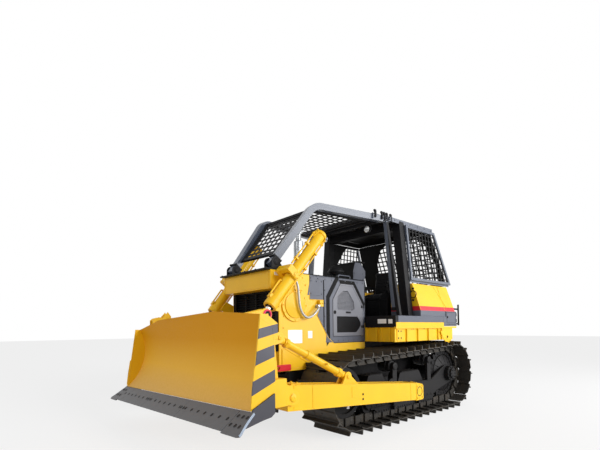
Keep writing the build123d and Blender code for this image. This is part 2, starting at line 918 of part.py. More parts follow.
# ---- canopy ---------------------------------------------------------------------------------------
roof_bottom = canopy_top - 55
roof_front = -330
roof_half = 850
post_front = -990
post_rear = post_front - 145
post_foot_half = 1060
rail_height = 80
rail_front = -600
side_post_foot = 1140
lean = (post_foot_half - canopy_half_rear) / (roof_bottom - deck_top)


def canopy_side(z):
    """Distance of the canopy's outer side face from the middle line, at a height."""
    return canopy_half_rear + lean * (roof_bottom - z)


# Rollover frame: two posts that lean out downwards, joined by a beam and the roof's rails
with BuildPart() as rollover_frame:
    for side, sign in SIDES:
        cross_plate(
            (
                (sign * (post_foot_half - post_width), deck_top + seat_gap),
                (sign * post_foot_half, deck_top + seat_gap),
                (sign * canopy_half_rear, roof_bottom),
                (sign * (canopy_half_rear - post_width), roof_bottom),
            ),
            (post_rear, post_front),
        )
        rail_sides = (sign * (canopy_half_rear - 70), sign * canopy_half_rear)
        block((canopy_rear, rail_front), rail_sides, (roof_bottom - rail_height, roof_bottom))
    between_rails = (-canopy_half_rear + 70, canopy_half_rear - 70)
    block((post_rear, post_front), between_rails, (roof_bottom - 130, roof_bottom))
    for x in (rail_front, canopy_rear + 70):
        block((x - 70, x), between_rails, (roof_bottom - rail_height, roof_bottom))
    # slim side posts from the deck to the rails' front ends
    for side, sign in SIDES:
        rail_low = roof_bottom - rail_height - seat_gap
        cross_plate(
            (
                (sign * (side_post_foot - 60), deck_top + seat_gap),
                (sign * side_post_foot, deck_top + seat_gap),
                (sign * canopy_side(rail_low), rail_low),
                (sign * (canopy_side(rail_low) - 60), rail_low),
            ),
            (rail_front - 70, rail_front - 10),
        )
write(rollover_frame, "rollover_frame")

with BuildPart() as roof:
    width = (-roof_half, roof_half)
    block((canopy_rear, roof_front), width, (roof_bottom + seat_gap, canopy_top))
    fillet(roof.edges().filter_by(Axis.Z), radius=40)
write(roof, "roof")

# Sweeps: square tubes from the guard's feet up over the operator to the roof's rails
sweep_bend = (800, 620, roof_bottom - sweep_tube / 2 - 10)
sweep_end = (rail_front - 60, canopy_half_rear - sweep_tube / 2 + 8, sweep_bend[2])
sweep_radius = 260
foot_overhang = 55
with BuildPart() as sweeps:
    for side, sign in SIDES:
        foot = Vector(foot_x, sign * foot_y, foot_z)
        bend = Vector(sweep_bend[0], sign * sweep_bend[1], sweep_bend[2])
        end = Vector(sweep_end[0], sign * sweep_end[1], sweep_end[2])
        rise = (bend - foot).normalized()
        start = foot - rise * foot_overhang
        with BuildLine() as path:
            FilletPolyline(start, bend, end, radius=sweep_radius)
        with BuildSketch(Plane(origin=start, x_dir=rise.cross(end - bend), z_dir=rise)) as section:
            Rectangle(sweep_tube, sweep_tube)
        sweep(section.sketch, path=path.wire())
        behind = (rail_front - 300, rail_front + seat_gap)
        block(behind, (sign * 600, sign * 1100), (3000, canopy_top), Mode.SUBTRACT)
        bore = (sign * (foot_y - 90), sign * (foot_y + 90))
        crosswise(foot_x, foot_z, foot_pin_radius + seat_gap, bore, Mode.SUBTRACT)
write(sweeps, "sweeps")


# Screens: bolted frames round a mesh plate
def flat_face(corners, inset=0):
    """A flat face through corner points (x, y, z), drawn in by an inset."""
    first, second, third = (Vector(*corner) for corner in corners[:3])
    normal = (second - first).cross(third - second)
    plane = Plane(origin=first, x_dir=second - first, z_dir=normal)
    with BuildSketch(plane) as face:
        with BuildLine():
            Polyline(*[plane.to_local_coords(Vector(*corner)) for corner in corners], close=True)
        make_face()
        if inset:
            offset(amount=-inset, kind=Kind.INTERSECTION, mode=Mode.REPLACE)
    return face.sketch


def screen(corners, depth, thickness):
    """A framed mesh: the frame lies on the corners' plane, its depth on the side the corners turn round."""
    extrude(flat_face(corners), amount=depth)
    extrude(flat_face(corners, screen_tube), amount=depth, mode=Mode.SUBTRACT)
    mesh = flat_face(corners, screen_tube - 2)
    extrude(mesh, amount=(depth + thickness) / 2)
    extrude(mesh, amount=(depth - thickness) / 2, mode=Mode.SUBTRACT)


screen_depth = 40
mesh_thickness = 6
screen_top = roof_bottom - rail_height - seat_gap
screen_bottom = 2280
screen_rear_foot = -2510
with BuildPart() as side_screens:
    for side, sign in SIDES:
        top, bottom = sign * canopy_side(screen_top), sign * canopy_side(screen_bottom)
        corners = (
            (post_rear - seat_gap, top, screen_top),
            (canopy_rear, top, screen_top),
            (screen_rear_foot, bottom, screen_bottom),
            (post_rear - seat_gap, bottom, screen_bottom),
        )
        screen(corners if sign < 0 else corners[::-1], screen_depth, mesh_thickness)
write(side_screens, "side_screens")

with BuildPart() as rear_screen:
    top, bottom = canopy_side(screen_top) - 46, canopy_side(screen_bottom) - 46
    screen(
        (
            (canopy_rear, top, screen_top),
            (canopy_rear, -top, screen_top),
            (screen_rear_foot, -bottom, screen_bottom),
            (screen_rear_foot, bottom, screen_bottom),
        ),
        screen_depth,
        mesh_thickness,
    )
write(rear_screen, "rear_screen")


def sweep_centre(x):
    """Distance of a sweep's centre line from the middle line, behind its bend."""
    share = (sweep_bend[0] - x) / (sweep_bend[0] - sweep_end[0])
    return sweep_bend[1] + share * (sweep_end[1] - sweep_bend[1])


# Front screen: a slanted mesh between the risers and a level one ahead of the roof
front_bar_share = 0.18
with BuildPart() as front_screen:
    lower_x = foot_x + front_bar_share * (sweep_bend[0] - foot_x)
    lower_y = foot_y + front_bar_share * (sweep_bend[1] - foot_y) - sweep_tube / 2 - 1
    lower_z = foot_z + front_bar_share * (sweep_bend[2] - foot_z)
    upper_y = sweep_bend[1] - sweep_tube / 2 - 9
    upper_x = sweep_bend[0] - 30
    upper_z = sweep_bend[2] - 20
    screen(
        (
            (lower_x, lower_y, lower_z),
            (lower_x, -lower_y, lower_z),
            (upper_x, -upper_y, upper_z),
            (upper_x, upper_y, upper_z),
        ),
        screen_depth,
        mesh_thickness,
    )
    rear_y = sweep_centre(roof_front) - sweep_tube / 2 - 7
    screen(
        (
            (upper_x + 20, upper_y, upper_z),
            (upper_x + 20, -upper_y, upper_z),
            (roof_front, -rear_y, upper_z),
            (roof_front, rear_y, upper_z),
        ),
        screen_depth,
        mesh_thickness,
    )
write(front_screen, "front_screen")

# Lamps under the roof's front rail
lamp_y = 500
with BuildPart() as work_lamps:
    for side, sign in SIDES:
        block((rail_front - 80, rail_front), (sign * (lamp_y - 75), sign * (lamp_y + 75)), (3140, 3240))
        upright(rail_front - 35, sign * lamp_y, 14, (3239, screen_top))
write(work_lamps, "work_lamps")

# ---- blade --------------------------------------------------------------------------------------
roll = math.radians(blade_roll_deg)


def blade_plane(across):
    """The upright plane at a place across the rolled blade: its x is +X, and its y is the blade's up."""
    return Plane(
        origin=(0, across * math.cos(roll), blade_roll_z + across * math.sin(roll)),
        x_dir=(1, 0, 0),
        z_dir=(0, -math.cos(roll), -math.sin(roll)),
    )


def blade_plate(points, across, mode=Mode.ADD):
    """A plate of the blade with the outline (x, z as if level) between two places across it."""
    with BuildSketch(blade_plane(max(across))) as face:
        with BuildLine():
            Polyline(*[(x, z - blade_roll_z) for x, z in points], close=True)
        make_face()
    extrude(face.sketch, amount=size(across), mode=mode)


def blade_disc(x, z, radius, across, mode=Mode.ADD):
    """A round bar along the blade between two places across it."""
    with BuildSketch(blade_plane(max(across))) as face:
        with Locations((x, z - blade_roll_z)):
            Circle(radius)
    extrude(face.sketch, amount=size(across), mode=mode)


def rolled(x, across, z):
    """A point of the rolled blade, from its place as if level."""
    up = z - blade_roll_z
    return (
        x,
        across * math.cos(roll) - up * math.sin(roll),
        blade_roll_z + across * math.sin(roll) + up * math.cos(roll),
    )


# The moldboard's front is an arc about a line ahead of it
chord = math.dist((moldboard_bottom_x, moldboard_bottom_z), (moldboard_top_x, moldboard_top_z))
moldboard_radius = (chord**2 / 4 + moldboard_sagitta**2) / (2 * moldboard_sagitta)
ahead_x = (moldboard_top_z - moldboard_bottom_z) / chord
ahead_z = (moldboard_bottom_x - moldboard_top_x) / chord
curve_offset = moldboard_radius - moldboard_sagitta
curve_x = (moldboard_bottom_x + moldboard_top_x) / 2 + ahead_x * curve_offset
curve_z = (moldboard_bottom_z + moldboard_top_z) / 2 + ahead_z * curve_offset
back_radius = moldboard_radius + moldboard_thickness
crown_low = moldboard_top_z - moldboard_crown
with BuildPart() as moldboard:
    across = (-moldboard_half_width, moldboard_half_width)
    blade_disc(curve_x, curve_z, back_radius, across)
    blade_disc(curve_x, curve_z, moldboard_radius, across, Mode.SUBTRACT)
    # only the arc between the moldboard's edges stays
    front_x = curve_x + back_radius + 1
    blade_plate(
        (
            (moldboard_bottom_x, moldboard_bottom_z),
            (moldboard_top_x, moldboard_top_z),
            (moldboard_top_x, curve_z + back_radius + 1),
            (front_x, curve_z + back_radius + 1),
            (front_x, curve_z - back_radius - 1),
            (moldboard_bottom_x, curve_z - back_radius - 1),
        ),
        across,
        Mode.SUBTRACT,
    )
    for x, z, limit in (
        (moldboard_top_x, moldboard_top_z, curve_z + back_radius + 1),
        (moldboard_bottom_x, moldboard_bottom_z, curve_z - back_radius - 1),
    ):
        behind = curve_x - back_radius
        blade_plate(((x, z), (x + 1, limit), (behind, limit), (behind, z)), across, Mode.SUBTRACT)
    upright_plane = Plane(
        origin=(blade_back_x - 50, 0, blade_roll_z),
        x_dir=(0, math.cos(roll), math.sin(roll)),
        z_dir=(1, 0, 0),
    )
    for sign in (-1, 1):
        with BuildSketch(upright_plane) as corner:
            with BuildLine():
                Polyline(
                    (sign * moldboard_crown_half, moldboard_top_z - blade_roll_z),
                    (sign * (moldboard_half_width + 1), crown_low - blade_roll_z),
                    (sign * (moldboard_half_width + 1), moldboard_top_z - blade_roll_z + 60),
                    (sign * moldboard_crown_half, moldboard_top_z - blade_roll_z + 60),
                    close=True,
                )
            make_face()
        extrude(corner.sketch, amount=300, mode=Mode.SUBTRACT)
write(moldboard, "moldboard")

# Cutting edge in three bolted lengths, and the end bits with their side wear plates
edge_length = math.dist((moldboard_bottom_x, moldboard_bottom_z), (blade_tip_x, blade_tip_z))
edge_down = (blade_tip_x - moldboard_bottom_x) / edge_length
edge_back = (moldboard_bottom_z - blade_tip_z) / edge_length
edge_thickness = 25
edge_outline = (
    (moldboard_bottom_x + seat_gap, moldboard_bottom_z - seat_gap),
    (blade_tip_x, blade_tip_z),
    (blade_tip_x - 8, blade_tip_z - 14),
    (
        moldboard_bottom_x - edge_back * edge_thickness,
        moldboard_bottom_z - seat_gap - edge_down * edge_thickness,
    ),
)
# the middle lengths stand back from the end bits' tips
edge_step = 24
middle_edge = tuple((x - edge_down * edge_step, z + edge_back * edge_step) for x, z in edge_outline[1:3])
middle_edge = (edge_outline[0], *middle_edge, edge_outline[3])
end_bit_start = 1575
end_plate_thickness = 20
with BuildPart() as cutting_edge:
    length = (2 * end_bit_start - 4) / 3
    for index in range(3):
        start = -end_bit_start + 2 + index * length
        blade_plate(middle_edge, (start + 1, start + length - 1))
write(cutting_edge, "cutting_edge")

with BuildPart() as end_bits:
    plate_outer = moldboard_half_width + end_plate_thickness
    for sign in (-1, 1):
        blade_plate(edge_outline, (sign * (end_bit_start + 1), sign * blade_half_width))
        blade_plate(
            (
                (blade_back_x + 33, 776),
                (blade_back_x + 38, 590),
                (blade_back_x + 84, 556),
                (blade_back_x + 187, 540),
                (2770, 496),
                (moldboard_bottom_x - 9, 656),
            ),
            (sign * (plate_outer + 1), sign * (plate_outer + 21)),
        )
write(end_bits, "end_bits")

with BuildPart() as end_plates:
    for sign in (-1, 1):
        blade_plate(
            (
                (blade_back_x + 5, crown_low - 96),
                (moldboard_top_x + 15, crown_low),
                (moldboard_bottom_x, moldboard_bottom_z + 2),
                (blade_back_x + 80, moldboard_bottom_z - 10),
                (blade_back_x + 10, 849),
            ),
            (sign * (moldboard_half_width + seat_gap), sign * plate_outer),
        )
write(end_plates, "end_plates")

# The blade's back: a lower box beam, a top rail, ribs, and lugs for the arms and the braces
rib_stations = (0, 430, 1080, 1660)
beam_rear = 2240
beam_top = 900
brace_top_x = 2140
brace_top_z = 1309
lug_gap = 4
lug_thickness = 25
brace_pin_radius = 22
brace_eye_half = 26
arm_pin_front_radius = 45
with BuildPart() as blade_frame:
    across = (-moldboard_half_width, moldboard_half_width)
    blade_plate(((beam_rear, 625), (2650, 625), (2650, beam_top), (beam_rear, beam_top)), across)
    top_across = (140 - lift_y, lift_y - 140)
    blade_plate(((2400, 1545), (2540, 1545), (2540, 1620), (2400, 1620)), top_across)
    for station in rib_stations:
        for sign in (-1, 1) if station else (1,):
            rib = (sign * station - 13, sign * station + 13)
            top = 1620 if station < moldboard_crown_half else crown_low - 10
            outline = (
                (beam_rear + 60, beam_top - 1),
                (2600, beam_top - 1),
                (2600, top),
                (2400, top),
                (2330, top - 200),
            )
            blade_plate(outline, rib)
    blade_disc(curve_x, curve_z, back_radius + seat_gap, (-2000, 2000), Mode.SUBTRACT)
write(blade_frame, "blade_frame")

# Brackets behind the blade: paired lugs with their pins for the push arms and for the braces
with BuildPart() as blade_brackets:
    for sign in (-1, 1):
        for face in (-1, 1):
            near = arm_half_width + 16
            lug = (sign * arm_centre_y + face * near, sign * arm_centre_y + face * (near + lug_thickness))
            blade_disc(arm_front_x, arm_front_z, 82, lug)
            outline = (
                (arm_front_x, arm_front_z - 82),
                (beam_rear - seat_gap, 626),
                (beam_rear - seat_gap, beam_top - 1),
                (arm_front_x - 26, arm_front_z + 78),
            )
            blade_plate(outline, lug)
            near = brace_eye_half + lug_gap
            lug = (sign * arm_centre_y + face * near, sign * arm_centre_y + face * (near + lug_thickness))
            blade_disc(brace_top_x, brace_top_z, 60, lug)
            outline = (
                (brace_top_x, brace_top_z - 60),
                (2560, 1150),
                (2560, 1430),
                (brace_top_x, brace_top_z + 60),
            )
            blade_plate(outline, lug)
        through = (sign * arm_centre_y - arm_half_width - 40, sign * arm_centre_y + arm_half_width + 40)
        blade_disc(arm_front_x, arm_front_z, arm_pin_front_radius, through)
        through = (sign * arm_centre_y - 60, sign * arm_centre_y + 60)
        blade_disc(brace_top_x, brace_top_z, brace_pin_radius, through)
    blade_disc(curve_x, curve_z, back_radius + seat_gap, (-2000, 2000), Mode.SUBTRACT)
write(blade_brackets, "blade_brackets")

# Lift lugs: a pair of upright plates with a pin for each lift cylinder's rod
lift_eye_half = 38
with BuildPart() as lift_lugs:
    for side, sign in SIDES:
        z = lift_eye_z + sign * lift_y * math.sin(roll)
        drop = z - lift_eye_z
        for face in (-1, 1):
            lug = (sign * lift_y + face * (lift_eye_half + 7), sign * lift_y + face * (lift_eye_half + 32))
            crosswise(lift_eye_x, z, 75, lug)
            side_plate(
                (
                    (lift_eye_x + 15, z + 73),
                    (2600, 1520 + drop),
                    (2600, 1000 + drop),
                    (2400, 1000 + drop),
                    (lift_eye_x - 62, z - 42),
                ),
                lug,
            )
        through = (sign * lift_y - lift_eye_half - 40, sign * lift_y + lift_eye_half + 40)
        crosswise(lift_eye_x, z, lift_pin_radius, through)
    blade_disc(curve_x, curve_z, back_radius + seat_gap, (-2000, 2000), Mode.SUBTRACT)
write(lift_lugs, "lift_lugs")


# ---- push arms ------------------------------------------------------------------------------------
def arm_line(x, sign):
    """Height of a push arm's centre line at x: the rolled blade lifts the left one."""
    front = rolled(arm_front_x, sign * arm_centre_y, arm_front_z)[2]
    return arm_pivot_z + (front - arm_pivot_z) * (x - arm_pivot_x) / (arm_front_x - arm_pivot_x)


brace_foot_x = 1080
brace_foot_rise = 218
# round the trunnion: the arm's squared rear end and its bearing cap
arm_eye = ((90, 136), (-80, 102), (-108, 76), (-108, -112), (-90, -128), (90, -128))
for side, sign in SIDES:
    y = (sign * (arm_centre_y - arm_half_width), sign * (arm_centre_y + arm_half_width))
    front_z = arm_line(arm_front_x, sign)
    brace_z = arm_line(brace_foot_x, sign) + brace_foot_rise
    with BuildPart() as push_arm:
        side_plate(
            (
                (arm_pivot_x, arm_pivot_z - arm_height_rear / 2),
                (arm_front_x + 50, front_z - arm_height_front / 2),
                (arm_front_x + 50, front_z + arm_height_front / 2),
                (arm_pivot_x, arm_pivot_z + arm_height_rear / 2),
            ),
            y,
        )
        eye = [(arm_pivot_x + along, arm_pivot_z + up) for along, up in arm_eye]
        side_plate(eye, y)
        pin_bore = (y[0] - sign, sign * (arm_pin_end + 5))
        crosswise(arm_pivot_x, arm_pivot_z, arm_pin_radius + running_fit, pin_bore, Mode.SUBTRACT)
        front_bore = (y[0] - sign * 60, y[1] + sign * 60)
        blade_disc(arm_front_x, arm_front_z, arm_pin_front_radius + seat_gap, front_bore, Mode.SUBTRACT)
        for face in (-1, 1):
            near = brace_eye_half + lug_gap
            lug = (sign * arm_centre_y + face * near, sign * arm_centre_y + face * (near + lug_thickness))
            crosswise(brace_foot_x, brace_z, 60, lug)
            base = arm_line(brace_foot_x, sign) + 110
            outline = (
                (brace_foot_x - 190, base),
                (brace_foot_x + 130, base),
                (brace_foot_x + 58, brace_z),
                (brace_foot_x - 58, brace_z),
            )
            side_plate(outline, lug)
        through = (sign * arm_centre_y - 60, sign * arm_centre_y + 60)
        crosswise(brace_foot_x, brace_z, brace_pin_radius, through)
    write(push_arm, f"push_arm_{side}")


def brace_ends(sign):
    """The two pin centres that a brace joins, arm first."""
    foot = (brace_foot_x, sign * arm_centre_y, arm_line(brace_foot_x, sign) + brace_foot_rise)
    return foot, rolled(brace_top_x, sign * arm_centre_y, brace_top_z)


def brace_eyes(sign):
    """Cut a brace's two pin bores and round its ends."""
    foot, top = brace_ends(sign)
    for x, y, z in (foot, top):
        crosswise(x, z, 56, (y - brace_eye_half, y + brace_eye_half))
    for x, y, z in (foot, top):
        crosswise(x, z, brace_pin_radius + 2, (y - 80, y + 80), Mode.SUBTRACT)


brace_radius = 45
with BuildPart() as arm_brace:
    foot, top = brace_ends(1)
    run = (Vector(*top) - Vector(*foot)).normalized()
    bar(Vector(*foot) + run * 45, Vector(*top) - run * 45, 24)
    bar(Vector(*foot) + run * 110, Vector(*top) - run * 110, brace_radius)
    brace_eyes(1)
write(arm_brace, "arm_brace")

with BuildPart() as tilt_cylinder:
    foot, top = brace_ends(-1)
    run = (Vector(*top) - Vector(*foot)).normalized()
    bar(Vector(*foot) + run * 45, Vector(*top) - run * 45, 24)
    bar(Vector(*foot) + run * 110, Vector(*foot) + run * 790, 76)
    bar(Vector(*foot) + run * 780, Vector(*top) - run * 90, 38)
    brace_eyes(-1)
write(tilt_cylinder, "tilt_cylinder")

# ---- lift cylinders -------------------------------------------------------------------------------
barrel_below = 573
bore_above = 845
rod_above = 790
gland_radius = 87
yoke_eye_radius = 60


def cylinder_line(sign):
    """A lift cylinder's trunnion centre, its rod eye's centre and the direction from one to the other."""
    y = sign * lift_y
    pivot = Vector(lift_trunnion_x, y, lift_trunnion_z)
    eye = Vector(lift_eye_x, y, lift_eye_z + y * math.sin(roll))
    return pivot, eye, (eye - pivot).normalized()


for side, sign in SIDES:
    pivot, eye, down = cylinder_line(sign)
    trunnion = (sign * (lift_y - 120), sign * (lift_y + 120))
    with BuildPart() as lift_barrel:
        bar(pivot - down * (barrel_above + 10), pivot + down * barrel_below, barrel_radius)
        bar(pivot + down * (barrel_below - 120), pivot + down * barrel_below, gland_radius)
        bar(pivot - down * (barrel_above + 10), pivot - down * (barrel_above - 30), barrel_radius + 7)
        crosswise(lift_trunnion_x, lift_trunnion_z, trunnion_pin_radius, trunnion)
        mouth = pivot + down * (barrel_below + 1)
        bar(pivot - down * bore_above, mouth, rod_radius + running_fit, Mode.SUBTRACT)
    write(lift_barrel, f"lift_barrel_{side}")

    with BuildPart() as lift_rod:
        bar(pivot - down * rod_above, eye - down * 50, rod_radius)
        crosswise(eye.X, eye.Z, 68, (eye.Y - lift_eye_half, eye.Y + lift_eye_half))
        bore = (eye.Y - lift_eye_half - 1, eye.Y + lift_eye_half + 1)
        crosswise(eye.X, eye.Z, eye_bore_radius, bore, Mode.SUBTRACT)
    write(lift_rod, f"lift_rod_{side}")


def yoke_point(down, along, out):
    """A place (x, z) beside a trunnion: along the barrel, and out over its front."""
    return (
        lift_trunnion_x + down.X * along - down.Z * out,
        lift_trunnion_z + down.Z * along + down.X * out,
    )


# Yokes: two arms and a bridge over each barrel's front, standing on the guard's side
with BuildPart() as cylinder_yokes:
    for side, sign in SIDES:
        pivot, eye, down = cylinder_line(sign)
        clear = barrel_radius + 6
        inner_arm = (sign * (beam_half + seat_gap), sign * (lift_y - clear))
        outer_arm = (sign * (lift_y + clear), sign * (lift_y + clear + 30))
        near, far = 106, 162
        wedge = [yoke_point(down, *place) for place in ((-54, 0), (54, 0), (50, far), (-50, far))]
        bridge = [yoke_point(down, *place) for place in ((-50, near), (50, near), (50, far), (-50, far))]
        for arm in (inner_arm, outer_arm):
            crosswise(lift_trunnion_x, lift_trunnion_z, yoke_eye_radius, arm)
            side_plate(wedge, arm)
        side_plate(bridge, (inner_arm[0], outer_arm[1]))
        pins = (sign * (lift_y - 121), sign * (lift_y + 121))
        crosswise(lift_trunnion_x, lift_trunnion_z, trunnion_pin_radius + running_fit, pins, Mode.SUBTRACT)
write(cylinder_yokes, "cylinder_yokes")

# ---- hoses ------------------------------------------------------------------------------------------
hose_radius = 17
# x, distance from the middle line, z: from behind the yoke, down in a loop and up to the side panel
hose_route = (
    (lift_trunnion_x - yoke_eye_radius - seat_gap, 640, lift_trunnion_z),
    (1205, 640, lift_trunnion_z),
    (1148, 652, 2085),
    (1130, 657, 1945),
    (1118, 657, 1800),
    (1072, 655, 1690),
    (985, 652, 1618),
    (880, 650, 1632),
    (785, 652, 1705),
    (710, 655, 1795),
    (710, hood_half + seat_gap, 1795),
)


def corner_radii(points):
    """The largest arc that each corner's two runs leave room for."""
    radii = []
    for before, here, after in zip(points, points[1:], points[2:]):
        turn = math.radians((here - before).get_angle(after - here))
        shorter = min((here - before).length, (after - here).length)
        radii.append(0.45 * shorter / math.tan(turn / 2))
    return radii


with BuildPart() as lift_hoses:
    for side, sign in SIDES:
        points = [Vector(x, sign * y, z) for x, y, z in hose_route]
        radii = corner_radii(points)
        with BuildLine() as path:
            FilletPolyline(*points, radius=radii)
        with BuildSketch(Plane(origin=points[0], z_dir=points[1] - points[0])) as section:
            Circle(hose_radius)
        sweep(section.sketch, path=path.wire())
        if sign > 0:
            print("hose length", round(path.wire().length), "radii", [round(radius) for radius in radii])
write(lift_hoses, "lift_hoses")
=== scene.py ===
"""Looks of the crawler bulldozer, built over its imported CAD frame.

Lengths here are millimetres in the CAD frame (+X ahead, +Y to the machine's left, +Z up) and become
metres when a piece is made. What is the same on both sides is made on the left and mirrored.
"""

import json
import math

import bmesh
import bpy
from mathutils import Matrix, Vector

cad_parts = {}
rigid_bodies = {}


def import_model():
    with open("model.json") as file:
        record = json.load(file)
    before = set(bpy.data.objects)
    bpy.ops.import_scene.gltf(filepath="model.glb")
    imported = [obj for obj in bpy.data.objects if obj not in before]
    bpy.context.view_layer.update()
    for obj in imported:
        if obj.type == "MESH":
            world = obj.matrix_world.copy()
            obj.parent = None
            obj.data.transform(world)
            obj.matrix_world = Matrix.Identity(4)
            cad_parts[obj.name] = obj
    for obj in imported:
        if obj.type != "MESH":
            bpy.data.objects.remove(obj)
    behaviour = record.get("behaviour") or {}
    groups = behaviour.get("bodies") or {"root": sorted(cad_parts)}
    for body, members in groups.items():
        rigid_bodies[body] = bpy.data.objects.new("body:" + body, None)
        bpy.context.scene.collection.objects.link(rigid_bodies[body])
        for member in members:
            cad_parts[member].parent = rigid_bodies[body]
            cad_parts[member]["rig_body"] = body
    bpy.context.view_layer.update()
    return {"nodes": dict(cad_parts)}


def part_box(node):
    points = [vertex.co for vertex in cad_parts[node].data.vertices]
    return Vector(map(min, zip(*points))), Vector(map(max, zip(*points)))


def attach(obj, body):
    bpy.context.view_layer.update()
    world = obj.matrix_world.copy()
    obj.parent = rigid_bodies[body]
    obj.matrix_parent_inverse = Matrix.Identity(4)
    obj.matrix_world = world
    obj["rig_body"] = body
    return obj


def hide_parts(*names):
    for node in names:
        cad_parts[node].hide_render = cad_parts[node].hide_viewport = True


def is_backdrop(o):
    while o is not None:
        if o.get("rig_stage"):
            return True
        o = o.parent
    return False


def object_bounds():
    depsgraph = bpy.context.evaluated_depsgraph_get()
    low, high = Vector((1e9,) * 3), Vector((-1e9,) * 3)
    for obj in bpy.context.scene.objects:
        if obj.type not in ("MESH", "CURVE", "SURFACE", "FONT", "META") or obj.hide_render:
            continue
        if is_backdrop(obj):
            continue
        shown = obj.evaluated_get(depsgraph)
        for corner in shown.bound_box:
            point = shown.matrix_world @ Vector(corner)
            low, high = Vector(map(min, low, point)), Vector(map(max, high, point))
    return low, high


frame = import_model()
nodes = frame["nodes"]

MM = 0.001
SIDES = (("left", 1), ("right", -1))
AHEAD, LEFT, UP = Vector((1, 0, 0)), Vector((0, 1, 0)), Vector((0, 0, 1))


# ---- materials -----------------------------------------------------------------------------------
class Tree:
    """A node tree with short calls for adding and joining nodes."""

    def __init__(self, owner):
        owner.use_nodes = True
        self.tree = owner.node_tree
        self.tree.nodes.clear()

    def add(self, kind, inputs=(), **settings):
        """Add a node; inputs are values or other nodes' output sockets."""
        node = self.tree.nodes.new("ShaderNode" + kind)
        for key, value in settings.items():
            setattr(node, key, value)
        for key, value in dict(inputs).items():
            if isinstance(value, bpy.types.NodeSocket):
                self.tree.links.new(value, node.inputs[key])
            else:
                node.inputs[key].default_value = value
        return node

    def math(self, operation, a, b=0.0, clamp=False):
        return self.add("Math", {0: a, 1: b}, operation=operation, use_clamp=clamp).outputs[0]

    def ramp(self, value, low, high, to_low=0.0, to_high=1.0):
        keys = {"Value": value, "From Min": low, "From Max": high, "To Min": to_low, "To Max": to_high}
        return self.add("MapRange", keys).outputs[0]

    def mix(self, share, a, b):
        return self.add("Mix", {0: share, 6: a, 7: b}, data_type="RGBA").outputs[2]

    def noise(self, where, scale, detail=3.0, roughness=0.5):
        keys = {"Vector": where, "Scale": scale, "Detail": detail, "Roughness": roughness}
        return self.add("TexNoise", keys).outputs[0]

    def parts(self, vector):
        """The x, y and z of a vector."""
        return self.add("SeparateXYZ", {0: vector}).outputs

    def rim(self, width):
        """The normal with edges rounded to a width, how much of an edge is here, and the true normal."""
        edge = self.add("Bevel", {"Radius": width}, samples=4).outputs[0]
        normal = self.add("NewGeometry").outputs["Normal"]
        align = self.add("VectorMath", {0: edge, 1: normal}, operation="DOT_PRODUCT").outputs["Value"]
        return edge, self.ramp(align, 0.985, 0.86), normal

    def bump(self, height, strength, distance, normal=None):
        keys = {"Height": height, "Strength": strength, "Distance": distance}
        if normal is not None:
            keys["Normal"] = normal
        return self.add("Bump", keys).outputs[0]

    def seen(self):
        """1 for what the camera sees straight, in a reflection or through glass, and 0 for other light."""
        rays = self.add("LightPath").outputs
        seen = self.math("MAXIMUM", rays["Is Camera Ray"], rays["Is Glossy Ray"])
        return self.math("MAXIMUM", seen, rays["Is Transmission Ray"])


def rgb(colour, share=1.0):
    return (*[min(1.0, channel * share) for channel in colour], 1.0)


def surface(lay_out):
    """Turn a function that lays out a shader's inputs into one that makes the named material."""

    def make(name, *values, **settings):
        material = bpy.data.materials.new(name)
        tree = Tree(material)
        where = tree.add("TexCoord").outputs["Object"]
        shader = tree.add("BsdfPrincipled", lay_out(tree, where, *values, **settings))
        tree.add("OutputMaterial", {"Surface": shader.outputs[0]})
        return material

    return make


@surface
def paint(
    tree, where, colour, rough=0.36, coat=0.1, edge_width=0.004, dust=0.25, worn=None, stripe=None, spec=0.25
):
    """Sprayed paint: drifting shade, orange peel, softened edges that wear, and dust low down."""
    broad = tree.noise(where, 1.7, 4.0)
    fine = tree.noise(where, 38.0, 5.0, 0.62)
    base = tree.mix(tree.ramp(broad, 0.3, 0.7), rgb(colour, 0.93), rgb(colour, 1.05))
    # stripe lays bands over the base colour; on the blade it lays painted shade and a painted reflection
    # instead
    if stripe:
        base = stripe(tree, where, base)
    edge, rim, normal = tree.rim(edge_width)
    chips = tree.math("MULTIPLY", rim, tree.ramp(fine, 0.5, 0.66), clamp=True)
    base = tree.mix(tree.math("MULTIPLY", chips, 0.55), base, rgb(worn or colour, 1.0 if worn else 1.3))
    low = tree.ramp(tree.parts(where)[2], 1.5, 0.1, 0.1, 1.0)
    flat = tree.ramp(tree.parts(normal)[2], 0.2, 1.0, 0.25, 1.0)
    veil = tree.math("MULTIPLY", tree.math("MULTIPLY", low, flat), tree.ramp(fine, 0.35, 0.75))
    base = tree.mix(tree.math("MULTIPLY", veil, dust, clamp=True), base, (0.20, 0.16, 0.115, 1))
    return {
        "Base Color": base,
        "Roughness": tree.ramp(tree.math("ADD", fine, veil), 0.3, 1.0, rough - 0.06, rough + 0.2),
        "Specular IOR Level": spec,
        "Coat Weight": coat,
        "Coat Roughness": 0.12,
        "Normal": tree.bump(tree.noise(where, 320.0, 2.0), 0.05, 0.002, edge),
    }


